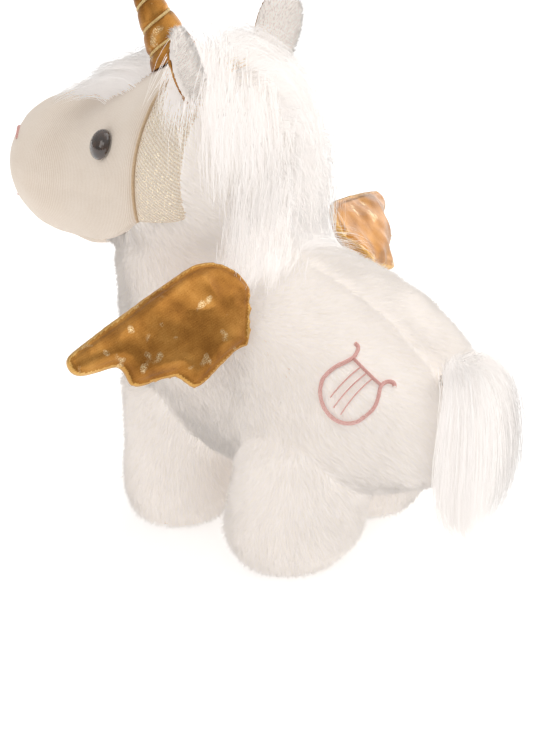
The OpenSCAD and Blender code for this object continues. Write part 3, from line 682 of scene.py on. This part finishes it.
def pile(p, n, on_leg, marks, seed):
    """Roots and tips of fur fibres for surface places p, and the way they lie."""
    draw = np.random.default_rng(seed)
    wish = comb_field(p, on_leg)
    spine = (np.abs(p[:, 0]) < 6) & (n[:, 2] > 0.35) & (p[:, 1] > 4) & (p[:, 2] > 60)
    side = np.where(p[:, 0] >= 0, 1.0, -1.0)
    near_seam = np.where(spine, 1 - np.abs(p[:, 0]) / 6, 0.0)
    wish[:, 0] += side * near_seam * 0.8
    along = unit(wish - (wish * n).sum(1)[:, None] * n)
    tall = 1.6 + 1.1 * lattice(p, 24, 41) + 0.8 * lattice(p, 8, 42) + draw.normal(0, 0.55, len(p))
    tall = tall - 1.9 * near_seam ** 2
    lean = 3.3 + 0.8 * lattice(p, 14, 43) + draw.normal(0, 0.6, len(p))
    press = np.clip(1 - (marks - 0.9) / 3.2, 0, 1)
    tall = tall * (1 - press) - 2.6 * press ** 2
    lean = lean * (1 - 0.65 * press)
    tip = p + n * tall[:, None] + along * lean[:, None] + draw.normal(0, 0.28, p.shape)
    tuft_at = p[draw.choice(len(p), max(len(p) // 26, 1), replace=False)]
    which = nearest(p, tuft_at)[0]
    count = np.maximum(np.bincount(which, minlength=len(tuft_at)), 1)
    mean = np.stack([np.bincount(which, tip[:, k], len(tuft_at)) for k in range(3)], 1) / count[:, None]
    gather = np.clip(0.22 + 0.15 * lattice(p, 11, 44), 0.0, 0.5)[:, None]
    tip = tip + (mean[which] - tip) * gather
    upright = (draw.random(len(p)) < 0.25)[:, None]
    tip = tip + n * np.where(upright, draw.uniform(0.3, 1.7, (len(p), 1)), 0)
    tip[:, 2] = np.maximum(tip[:, 2], 0.4)
    root = p - n * np.where(upright, 3.5, 1.9) - along * np.where(upright, 0.3, 2.6)
    return root, tip, along


def fur_pieces(skin, smooth_cloth, marks_at):
    """Fur over the whole coat, one piece for each sewn panel."""
    tree, owner = surface_tree([NODES[n].data for n in FUR_NODES + SMOOTH_NODES])
    p, n = scatter(skin.data, 4.4, 5)
    who = owners(tree, owner, p + n * 0.5)
    bare = who >= len(FUR_NODES)
    head = np.where(p[:, 0] >= 0, FUR_NODES.index("head_panel_left"), FUR_NODES.index("head_panel_right"))
    who = np.where(bare, head, who)
    cover = [smooth_cloth.find_nearest(q)[3] if b else NO_CLOTH for q, b in zip(p.tolist(), bare)]
    fur = (np.array(cover) > CLOTH_GAP) & (p[:, 2] > CLOTH_GAP)
    p, n, who = p[fur], n[fur], who[fur]
    on_leg = (who >= FIRST_LEG) & (who <= LAST_LEG)
    marks = np.full(len(p), float(NO_CLOTH))
    close = np.linalg.norm(p - marks_at.mean(0), axis=1) < MARK_REACH
    marks[close] = nearest(p[close] + n[close] * 0.5, marks_at)[1]
    root, tip, along = pile(p, n, on_leg, marks, 6)
    draw = np.random.default_rng(8)
    radius = draw.uniform(0.32, 0.52, (len(p), 1)) * 1.0
    shade = draw.choice(len(FUR), len(p), p=FUR_SHARES)
    normal = unit(n + 0.2 * along + draw.normal(0, 0.09, p.shape))
    for k, node in enumerate(FUR_NODES):
        mine = np.nonzero(who == k)[0]
        shares = np.array_split(mine, len(mine) // MOST_FIBRES + 1)
        for i, part in enumerate(shares):
            strand_piece(f"fur_{node}_{i + 1}", np.stack([root[part], tip[part]], 1), radius[part],
                         normal[part], shade[part], FUR, "torso")
    return tree, owner


def coat():
    """Smooth form of the whole stuffed body, with the neck eased in and the chest filled out."""
    skin = from_nodes("coat_form", FUR_NODES + SMOOTH_NODES + STUFFED + [f"sole_{leg}" for leg in LEGS], 3.0)
    relax(skin.data, 14)
    co = arrays(skin.data)
    neck = np.exp(-((co[:, 2] - 150) / 15) ** 2) * np.clip((co[:, 1] + 38) / 14, 0, 1)
    relax(skin.data, 36, 1 - neck, 0.6)
    co = arrays(skin.data)
    chest = np.exp(-((co[:, 2] - 114) / 22) ** 2) * np.clip((-12 - co[:, 1]) / 26, 0, 1)
    co[:, 1] += 5.5 * chest
    put(skin.data, co)
    return skin


def backing_pieces(skin, tree, owner):
    """The fur's cloth backing, a pile's depth under the coat, cut where the panels meet."""
    mesh = skin.data
    co, no = arrays(mesh), normals(mesh)
    inner = co - no * PILE
    inner[:, 2] = np.maximum(inner[:, 2], 2.2)
    polys = [list(p.vertices) for p in mesh.polygons]
    centre = np.array([co[p].mean(0) for p in polys])
    who = owners(tree, owner, centre)
    made = {}
    for k, node in enumerate(FUR_NODES):
        used, faces = chosen(polys, who == k)
        cloth = piece(f"backing_{node}", inner[used], faces, BACKING, "torso", (node,))
        made[node] = thicken(cloth, 1.2)
    return made


# ---- Embroidered lyre ----

LYRE_U, LYRE_A, LYRE_TILT, LYRE_H = 2.36, 41.6, 26.0, 36.0
LYRE_LEFT = [(-0.545, 0.30), (-0.475, 0.315), (-0.415, 0.265), (-0.38, 0.19), (-0.385, 0.06),
             (-0.405, -0.08)]
LYRE_BOWL = [(0.41 * math.cos(math.radians(a)), 0.41 * math.sin(math.radians(a)) - 0.14)
             for a in range(198, 346, 14)]
LYRE_RIGHT = [(0.43, -0.08), (0.42, 0.06), (0.345, 0.205), (0.25, 0.32), (0.225, 0.42), (0.265, 0.50),
              (0.34, 0.535), (0.41, 0.51)]
LYRE_BAR = [(-0.38, 0.19), (-0.08, 0.27), (0.22, 0.345)]
LYRE_STRINGS = [[(-0.20, 0.21), (-0.175, -0.08), (-0.15, -0.37)],
                [(-0.07, 0.25), (-0.05, -0.1), (-0.03, -0.43)],
                [(0.055, 0.285), (0.08, -0.07), (0.105, -0.42)]]
LYRE_STEP = 0.008
HIP_RADIUS, STATION = 42.5, 30.0


def smooth_path(points, step):
    """Evenly spaced points on a smooth curve through the given ones."""
    points = np.asarray(points, float)
    fine = spline(points, np.linspace(0, len(points) - 1, 40 * len(points)))
    run = run_of(fine)
    return read_at(np.linspace(0, run[-1], max(int(run[-1] / step), 2)), run, fine)


def on_haunch(path):
    x, y = path[:, 0], path[:, 1]
    t = math.radians(LYRE_TILT)
    rear = LYRE_H * (x * math.cos(t) + y * math.sin(t))
    up = LYRE_H * (y * math.cos(t) - x * math.sin(t))
    return torso_at(LYRE_U - rear / STATION, LYRE_A + np.degrees(up / HIP_RADIUS))


def lyre_lines():
    """Lines of the lyre with the width of each in mm."""
    drawn = [(LYRE_LEFT + LYRE_BOWL + LYRE_RIGHT, 1.65), (LYRE_BAR, 1.1)] + [(s, 0.6) for s in LYRE_STRINGS]
    return [(smooth_path(points, LYRE_STEP), width) for points, width in drawn]


def satin(paths, pitch, seed):
    """Raised satin stitch: short threads side by side across each path of (points, normals, width)."""
    draw = np.random.default_rng(seed)
    verts, faces = [], []
    for points, up, width in paths:
        run = run_of(points)
        at = np.arange(pitch / 2, run[-1], pitch)
        c = read_at(at, run, points)
        d = unit(read_at(at + 0.2, run, points) - read_at(at - 0.2, run, points))
        n = unit(read_at(at, run, up))
        side = unit(np.cross(n, d))
        for i in range(len(c)):
            w = width / 2 * (1 + draw.normal(0, 0.05))
            skew = d[i] * 0.28 * width
            base = len(verts)
            thread = pitch * 0.62
            for s in (-1, -0.72, -0.3, 0.3, 0.72, 1):
                rise = 0.62 * width ** 0.5 * math.sqrt(max(1 - s * s, 0)) - 0.75 * abs(s) ** 3
                mid = c[i] + side[i] * w * s + skew * s * 0.5 + n[i] * rise
                for a in range(4):
                    ang = math.pi / 2 * a + math.pi / 4
                    verts.append(mid + d[i] * thread * math.cos(ang) + n[i] * thread * math.sin(ang) * 0.8)
            for r in range(5):
                for a in range(4):
                    b = (a + 1) % 4
                    low = base + r * 4
                    faces.append([low + a, low + b, low + 4 + b, low + 4 + a])
            faces.append([base + 3, base + 2, base + 1, base])
            faces.append([base + 20, base + 21, base + 22, base + 23])
    return np.array(verts), faces


def build_lyre(lines):
    paths = []
    for path, width in lines:
        p, n = on_haunch(path)
        paths.append((p - n * 0.25, n, width))
    verts, faces = satin(paths, 0.42, 15)
    piece("lyre_stitching", verts, faces, PINK, "torso", ("lyre_embroidery",))


# ---- Face and muzzle ----

CLOTH_REACH, CLOTH_TURN = 1.9, 26.0
JOWL = 6.5
PAST_SEAM = 0.16
STATION_RUN = 20.0


def seam_station(a):
    return HEAD_SEAM + CLOTH_REACH * np.clip((JAW_ANGLE - a) / CLOTH_TURN, 0, 1)


def tucked(off_edge, reach, depth):
    """How far cloth dips towards a seam that is off_edge away."""
    return -depth * np.exp(-np.maximum(off_edge, 0) / reach)


def head_cloth(name, seam_u, high_u, angles, rows, side, material, node, puff, closed=False):
    """Cloth over the head between two stations, tucked in past its seam. closed: it ends at the nose."""
    low_u = seam_u - PAST_SEAM
    share = np.linspace(0, 1, rows)
    if closed:
        share = 1 - (1 - share) ** 1.6
    u = low_u[None, :] + (high_u - low_u)[None, :] * share[:, None]
    flat_u, flat_a = u.ravel(), np.broadcast_to(angles[None, :], u.shape).ravel()
    p, n = head_at(flat_u, flat_a)
    past = np.broadcast_to(seam_u, u.shape).ravel() - flat_u
    dip = tucked(-past * STATION_RUN, 1.8, 1.1) - 1.3 * np.clip(past * STATION_RUN, 0, 9)
    if not closed:
        dip = dip + tucked((np.broadcast_to(high_u, u.shape).ravel() - flat_u) * STATION_RUN, 1.8, 1.1)
    dip = dip + tucked(np.abs(p[:, 0]), 1.5, 0.7)
    jowl = JOWL * np.clip((-flat_a - 5) / 40, 0, 1) * np.exp(-((flat_u - 4.3) / 1.3) ** 2)
    p = p + n * (dip + jowl + puff * lattice(p, 16, 61) + 0.25 * lattice(p, 6, 62))[:, None]
    p[:, 0] = np.maximum(p[:, 0], 0.12)
    p, n = across(p, n, side)
    grid_p, grid_n = (v.reshape(rows, -1, 3)[:, ::side] for v in (p, -n))
    return subdivided(sheet_piece(name, grid_p, grid_n, 1.6, material, "torso", (node,)))


def over_top(u, a):
    """Places on the head at angles that run from its left side over the top to its right side."""
    p, n = head_at(u, np.where(a > 90, 180 - a, a))
    return across(p, n, np.where(a > 90, -1, 1))


def build_face():
    around = np.linspace(-90, 90, 73)
    brow = np.linspace(JAW_ANGLE + 0.4, 90, 45)
    for side_name, side in SIDES:
        head_cloth(f"muzzle_cloth_{side_name}", seam_station(around) + 0.01, np.full(73, HEAD_NOSE - 0.001),
                   around, 56, side, VELOUR, f"muzzle_{side_name}", 0.5, True)
        head_cloth(f"face_knit_{side_name}", np.full(45, 2.01), np.full(45, 2.985), brow, 22, side, KNIT,
                   f"face_panel_{side_name}", 0.35)
    seam_a = np.linspace(JAW_ANGLE, 180 - JAW_ANGLE, 260)
    p, n = over_top(np.full(260, HEAD_SEAM), seam_a)
    verts, faces = satin([(p - n * 0.75, n, 1.1)], 0.7, 21)
    piece("muzzle_seam_stitching", verts, faces, TAN, "torso", ("muzzle_seam",))
    for side_name, side in SIDES:
        k = np.linspace(-1, 1, 30)
        p, n = across(*head_at(6.8 + 0.22 * k, 38 + 7 * k + 5 * (1 - k * k)), side)
        verts, faces = satin([(p - n * 0.1, n, 2.6)], 0.45, 22)
        piece(f"nostril_stitching_{side_name}", verts, faces, PINK, "torso",
              (f"nostril_{side_name}",))
    k = np.linspace(-1, 1, 90)
    p, n = head_at(7.2 - 0.5 * k * k, np.minimum(-90 + 60 * np.abs(k), -30))
    p, n = across(p, n, np.where(k < 0, -1, 1))
    verts, faces = satin([(p - n * 0.1, n, 1.4)], 0.45, 23)
    piece("mouth_stitching", verts, faces, PINK, "torso", ("mouth_stitch",))
    gloss = grained("eye_gloss", 0.003, 3, [(0.35, (0.012, 0.006, 0.003)), (0.75, (0.075, 0.03, 0.012))],
                    0.07, 0.05, Specular_IOR_Level=0.6, Coat_Weight=1.0, Coat_Roughness=0.03)
    washer = grained("washer_plastic", 0.002, 2, [(0.3, (0.74, 0.74, 0.72)), (0.7, (0.84, 0.84, 0.82))],
                     0.4, 0.1, Specular_IOR_Level=0.4)
    for side_name, side in SIDES:
        for node, material in ((f"eye_{side_name}", gloss), (f"eye_washer_{side_name}", washer)):
            data = NODES[node].data
            data.materials.clear()
            data.materials.append(material)


# ---- Padded wings ----

def inflated(obj, frames, pressure, reach):
    """Fills a closed cloth form with air for a few frames, keeping each point near where it was."""
    start = arrays(obj.data)
    mod = obj.modifiers.new("filling", "CLOTH")
    mod.settings.use_pressure = True
    mod.settings.uniform_pressure_force = pressure
    mod.settings.effector_weights.gravity = 0
    mod.settings.quality = 6
    mod.point_cache.frame_end = frames
    for f in range(1, frames + 1):
        scene.frame_set(f)
    applied(obj)
    scene.frame_set(1)
    moved = arrays(obj.data) - start
    far = np.linalg.norm(moved, axis=1)[:, None]
    put(obj.data, start + moved * np.minimum(1, reach / np.maximum(far, 1e-6)))
    return obj


def wing_frame(side):
    """Across, up and face directions of one wing, from its own points."""
    pts = arrays(NODES[f"wing_front_{side}"].data)
    back = arrays(NODES[f"wing_back_{side}"].data)
    both = np.concatenate([pts, back])
    mid = both.mean(0)
    axes = np.linalg.svd(both - mid, full_matrices=False)[2]
    face = axes[2]
    if (pts.mean(0) - back.mean(0)) @ face < 0:
        face = -face
    return mid, axes[0], axes[1], face


def pressed(points, mid, one, two):
    """Points laid flat on the wing's plane."""
    return np.stack([(points - mid) @ one, (points - mid) @ two, np.zeros(len(points))], 1)


def build_wing(side, seed, sag):
    """Puffed, crumpled wing of two gold cloths with a rolled rim; its upper edge sags by sag mm."""
    mid, one, two, face = wing_frame(side)
    obj = from_nodes(f"wing_{side}", [f"wing_front_{side}", f"wing_back_{side}", f"wing_padding_{side}"], 1.5)
    relax(obj.data, 6)
    inflated(obj, 20, 4, 1.6)
    mesh = subdivided(obj).data
    co, no = arrays(mesh), normals(mesh)
    tilt = no @ face
    edge = pressed(co[np.abs(tilt) < 0.3], mid, one, two)
    off = nearest(pressed(co, mid, one, two), edge)[1]
    inside = np.clip(off / 5, 0, 1)
    flat = co - ((co - mid) @ face)[:, None] * face
    dents = (lattice(flat, 19, seed) * 1.6 + lattice(flat, 8, seed + 1) * 0.7
             + np.abs(lattice(flat, 12, seed + 2)) * -1.2)
    front = np.where(tilt > 0, 1.0, -1.0)
    puff = dents * inside ** 0.8
    ridge = 0.25 * np.exp(-(off / 0.9) ** 2) - 0.35 * np.exp(-((off - 1.6) / 0.7) ** 2)
    droop = lattice(flat, 40, seed + 3)[:, None] * face * 1.6 * inside[:, None]
    co = co + no * (puff + ridge)[:, None] + droop
    height = (co[:, 2] - co[:, 2].min()) / np.ptp(co[:, 2])
    co[:, 2] -= sag * height ** 2
    put(mesh, co)
    polys = [list(p.vertices) for p in mesh.polygons]
    centre_tilt = np.array([front[p].mean() for p in polys])
    # Faces close to the rim take the paler lamé copy, a painted highlight along the edges.
    painted_highlight_rim = np.array([off[p].mean() < 0.75 for p in polys])
    for part, wanted, inner in (("front", centre_tilt > 0, (f"wing_padding_{side}",)),
                                ("back", centre_tilt <= 0, ())):
        used, faces = chosen(polys, wanted)
        cloth = piece(f"wing_{part}_cloth_{side}", co[used], faces, [LAME, RIM_HIGHLIGHT], f"wing_{side}",
                      (f"wing_{part}_{side}", *inner), flags=painted_highlight_rim[wanted])
        thicken(cloth, 0.7)
    bpy.data.objects.remove(obj)


# ---- Horn, ears, soles ----

HORN_U, HORN_LENGTH, HORN_BASE, HORN_TIP, HORN_TURNS = 3.72, 51.7, 11.0, 1.6, 5
EAR_FUR_GAP = 2.4


def horn_frame():
    p, n = head_at(np.array([HORN_U]), np.array([90.0]))
    n = n[0]
    one = unit(np.cross(n, [1.0, 0, 0])[None])[0]
    return p[0], n, one, np.cross(n, one)


def build_horn():
    base, up, one, two = horn_frame()
    rows, cols = 150, 72
    s = np.linspace(0, 1, rows)[:, None]
    a = np.arange(cols)[None, :] * 2 * math.pi / cols
    groove = (a / (2 * math.pi) - s * HORN_TURNS) % 1.0
    groove = np.minimum(groove, 1 - groove)
    radius = HORN_BASE * (1 - s) + HORN_TIP * s
    swell = 1 + 0.10 * (1 - np.exp(-(groove / 0.16) ** 2)) - 0.10 * np.exp(-(groove / 0.07) ** 2)
    radius = radius * swell * np.sqrt(np.clip((1.004 - s) / 0.05, 0, 1))
    p = (base + up * (HORN_LENGTH * s[..., None]) + radius[..., None]
         * (np.cos(a)[..., None] * one + np.sin(a)[..., None] * two))
    p = p + lattice(p.reshape(-1, 3), 5, 71).reshape(rows, cols, 1) * 0.25 * up
    piece("horn_cloth", p.reshape(-1, 3), wall(rows, cols), LAME, "torso",
          ("horn_cover", "horn_stuffing"))
    t = np.linspace(0.015, 0.955, 640)[:, None]
    ang = 2 * math.pi * HORN_TURNS * t
    out = np.cos(ang) * one + np.sin(ang) * two
    line = base + up * (HORN_LENGTH * t) + (HORN_BASE * (1 - t) + HORN_TIP * t) * 0.93 * out
    tube("horn_winding", line, unit(out), 0.75, GOLD_THREAD, "torso", ("horn_thread",))


def tube(name, line, out, radius, material, body, replaced):
    """Round thread along a line, with the twist of its two plies."""
    along = unit(np.gradient(line, axis=0))
    side = np.cross(along, out)
    cols = 10
    a = (np.arange(cols) * 2 * math.pi / cols)[None, :, None]
    ply = 1 + 0.16 * np.abs(np.sin(a + run_of(line)[:, None, None] * 2.2))
    ring = (np.cos(a) * out[:, None] + np.sin(a) * side[:, None]) * ply
    p = line[:, None] + ring * radius
    faces = [f[:1] + f[:0:-1] for f in wall(len(line), cols)]
    return piece(name, p.reshape(-1, 3), faces, material, body, replaced)


def build_ears():
    for side, _ in SIDES:
        outer = from_nodes(f"ear_back_{side}", [f"ear_outer_{side}"], 0.9)
        relax(outer.data, 4)
        finish_piece(outer, BACKING, f"ear_{side}", (f"ear_outer_{side}",))
        lining = from_nodes(f"ear_inside_{side}", [f"ear_lining_{side}"], 0.6)
        relax(lining.data, 3)
        finish_piece(lining, LAME, f"ear_{side}", (f"ear_lining_{side}",))
        p, n = scatter(outer.data, 4.0, 91)
        keep = nearest(p, arrays(lining.data))[1] > EAR_FUR_GAP
        p, n = p[keep], n[keep]
        draw = np.random.default_rng(92)
        along = np.tile([0.0, 0.2, 0.9], (len(p), 1)) + 0.3 * draw.normal(0, 1, p.shape)
        along = unit(along - (along * n).sum(1)[:, None] * n)
        tip = p + n * draw.uniform(0.8, 1.8, (len(p), 1)) + along * draw.uniform(1.5, 2.8, (len(p), 1))
        strand_piece(f"ear_fur_{side}", np.stack([p - n * 0.8, tip], 1), np.full((len(p), 1), 0.3),
                     unit(n + draw.normal(0, 0.13, p.shape)), draw.choice(4, len(p), p=FUR_SHARES), FUR,
                     f"ear_{side}")


def build_soles():
    for leg in LEGS:
        pad = from_nodes(f"sole_pad_{leg}", [f"sole_{leg}"], 0.7)
        relax(pad.data, 2)
        finish_piece(pad, FELT, "torso", (f"sole_{leg}",))


# ---- Long hair ----

# Rows in mm. Down the mane: y, z and half width.
MANE_ROWS = [(-27, 216, 12), (-9, 208, 23.1), (7, 182, 27.5), (7, 156, 27.5), (11, 140, 24.2),
             (19, 134, 8)]


def on_skin(skin, points):
    """The nearest places on a surface, and its normals there."""
    found = [skin.find_nearest(q)[:2] for q in points.tolist()]
    return np.array([f[0] for f in found]), np.array([f[1] for f in found])


def fall(start, aim, lengths, segments, skin, lift, weight, seed, pull):
    """Lines that leave start towards aim and drop over the skin, each at its own height above it."""
    draw = np.random.default_rng(seed)
    pull = np.asarray(pull, float)
    point, way = start.copy(), unit(aim)
    line = [point.copy()]
    for _ in range(segments):
        way = unit(way * (1 - weight) + pull * weight + 0.05 * draw.normal(0, 1, way.shape))
        point = point + way * (lengths / segments)[:, None]
        for i in range(len(point)):
            near, n = skin.find_nearest(point[i].tolist())[:2]
            near, n = np.array(near), np.array(n)
            height = (point[i] - near) @ n
            if height < lift[i]:
                point[i] = near + n * lift[i]
                way[i] = way[i] - min(way[i] @ n, 0) * n
        way = unit(way)
        line.append(point.copy())
    return np.stack(line, 1)


def locks(name, guides, up, per, spread, close, radius, body, replaced, seed, rings=6, ragged=0.3):
    """Fine hairs gathered round guide lines, loose at the root and closer at the tip."""
    draw = np.random.default_rng(seed)
    count, points = guides.shape[:2]
    which = np.repeat(np.arange(count), per)
    n = len(which)
    t = np.linspace(0, 1, rings + 1)
    share = 1 - ragged * draw.random(n) ** 1.5
    where = share[:, None] * t[None] * (points - 1)
    low = np.minimum(where.astype(int), points - 2)
    part = (where - low)[..., None]
    base = guides[which[:, None], low] * (1 - part) + guides[which[:, None], low + 1] * part
    offset = draw.normal(0, 1, (n, 3))
    wave = draw.normal(0, 1, (n, 3))
    size = spread * (1 - t) + close * t
    swing = np.sin(t * 5 + draw.random((n, 1)) * 6) * t
    line = base + offset[:, None] * size[None, :, None] + wave[:, None] * swing[..., None] * close * 0.5
    thin = radius * (1 - 0.7 * t[:-1] ** 2)
    radii = thin[None] * draw.uniform(0.7, 1.3, (n, 1))
    normal = unit(up[which] + draw.normal(0, 0.05, (n, 3)))
    shade = draw.choice(len(HAIR), n, p=HAIR_SHARES)
    return strand_piece(name, line, radii, normal, shade, HAIR, body, replaced, 0.2)


def build_mane(skin):
    draw = np.random.default_rng(101)
    rows = np.array(MANE_ROWS, float)
    count = 190
    u = (len(rows) - 1.7) * draw.random(count) ** 1.25
    at = spline(rows, u)
    x = draw.uniform(-0.85, 0.85, count) * at[:, 2]
    start = np.stack([x, at[:, 0] + draw.uniform(-2, 4, count), at[:, 1] + draw.uniform(0, 3, count)], 1)
    near, n = on_skin(skin, start)
    root = near - n
    out = unit(root - np.stack([np.zeros(count), root[:, 1] - 22, root[:, 2] - 14], 1))
    side = np.where(x >= 0, 1.0, -1.0)
    aim = out * 0.8 + np.stack([side * 1.0, np.full(count, -0.05), np.full(count, -0.1)], 1)
    lengths = draw.uniform(36, 58, count) - 6 * np.clip(u, 0, 2)
    lift = draw.uniform(2.2, 7.5, count)
    guides = fall(root, aim, lengths, 14, skin, lift, 0.3, 102, (0, -0.04, -1.0))
    up = on_skin(skin, guides[:, 7])[1]
    locks("mane_hair", guides, up, 34, 4.2, 3.0, 0.13, "torso", ("mane",), 103)


def build_forelock(skin):
    draw = np.random.default_rng(111)
    count = 40
    u = draw.uniform(4.0, 4.75, count)
    a = 90 + draw.uniform(-24, 24, count)
    p, n = over_top(u, a)
    aim = n * 0.7 + np.stack([0.4 * (90 - a) / 24, np.full(count, -0.8), np.full(count, 0.1)], 1)
    guides = fall(p - n, aim, draw.uniform(22, 34, count), 9, skin, draw.uniform(1.5, 6, count), 0.2, 112,
                  (0, -0.5, -0.7))
    locks("forelock_hair", guides, n, 30, 2.4, 1.2, 0.2, "torso", ("forelock",), 113)


TAIL_ROOT = np.array((0, 105.17, 96.05))
# Down the tail, from its root: y, z, half width and half depth.
TAIL_ROWS = [(0.2, 2.6, 4, 3), (5, 4.5, 11, 7), (10, -3, 20, 9.4), (12, -20, 26, 12.5), (12, -42, 28, 13),
             (11, -64, 22, 10), (10, -80, 3, 3)]


def build_tail():
    draw = np.random.default_rng(121)
    rows = np.array(TAIL_ROWS, float)
    count = 130
    seat = draw.uniform(-1, 1, (count, 2))
    seat = seat / np.maximum(1, np.linalg.norm(seat, axis=1))[:, None]
    u = np.linspace(0.05, 5.9, 16)
    reach = draw.uniform(0.78, 1.0, count)
    guides = np.zeros((count, 16, 3))
    for i in range(count):
        row = spline(rows, u * reach[i])
        wide, deep = np.maximum(row[:, 2:4], 2).T
        guides[i] = TAIL_ROOT + np.stack([seat[i, 0] * wide * 0.9, row[:, 0] + seat[i, 1] * deep * 0.75,
                                          row[:, 1] + 0.8 * draw.normal()], 1)
    up = unit(np.stack([seat[:, 0] * 0.8, 0.6 + 0.5 * seat[:, 1], np.full(count, 0.25)], 1))
    locks("tail_hair_locks", guides, up, 40, 1.9, 2.6, 0.15, "tail", ("tail_hair",), 122, 7, 0.22)
    tab = from_nodes("tail_tab_cloth", ["tail_tab"], 0.6)
    relax(tab.data, 3)
    finish_piece(tab, TAB, "tail_base", ("tail_tab",))
    p, n = scatter(tab.data, 5.0, 123)
    along = unit(np.tile([0.0, 0.8, 0.2], (len(p), 1)) + 0.4 * draw.normal(0, 1, p.shape))
    tip = p + n * 1.6 + along * 2.0
    strand_piece("tail_tab_fur", np.stack([p - n * 0.5, tip], 1), np.full((len(p), 1), 0.3), unit(n + 0.01),
                 draw.choice(4, len(p), p=FUR_SHARES), FUR, "tail_base")


lyre = lyre_lines()
lyre_points = np.concatenate([on_haunch(path)[0] for path, width in lyre])
form = coat()
build_face()
smooth_cloth = surface_tree([bpy.data.objects[name].data for name in CLOTH_PIECES])[0]
tree, owner = fur_pieces(form, smooth_cloth, lyre_points)
panels = backing_pieces(form, tree, owner)
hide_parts("body_stuffing")
for leg in LEGS:
    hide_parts(f"leg_stuffing_{leg}")
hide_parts("head_stuffing")
skin = BVHTree.FromPolygons(arrays(form.data).tolist(), [list(p.vertices) for p in form.data.polygons])
build_mane(skin)
build_forelock(skin)
bpy.data.objects.remove(form)
build_lyre(lyre)
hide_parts("muzzle_stuffing")
build_tail()
build_horn()
build_ears()
build_soles()
build_wing("left", 131, 0.0)
build_wing("right", 141, 5.5)
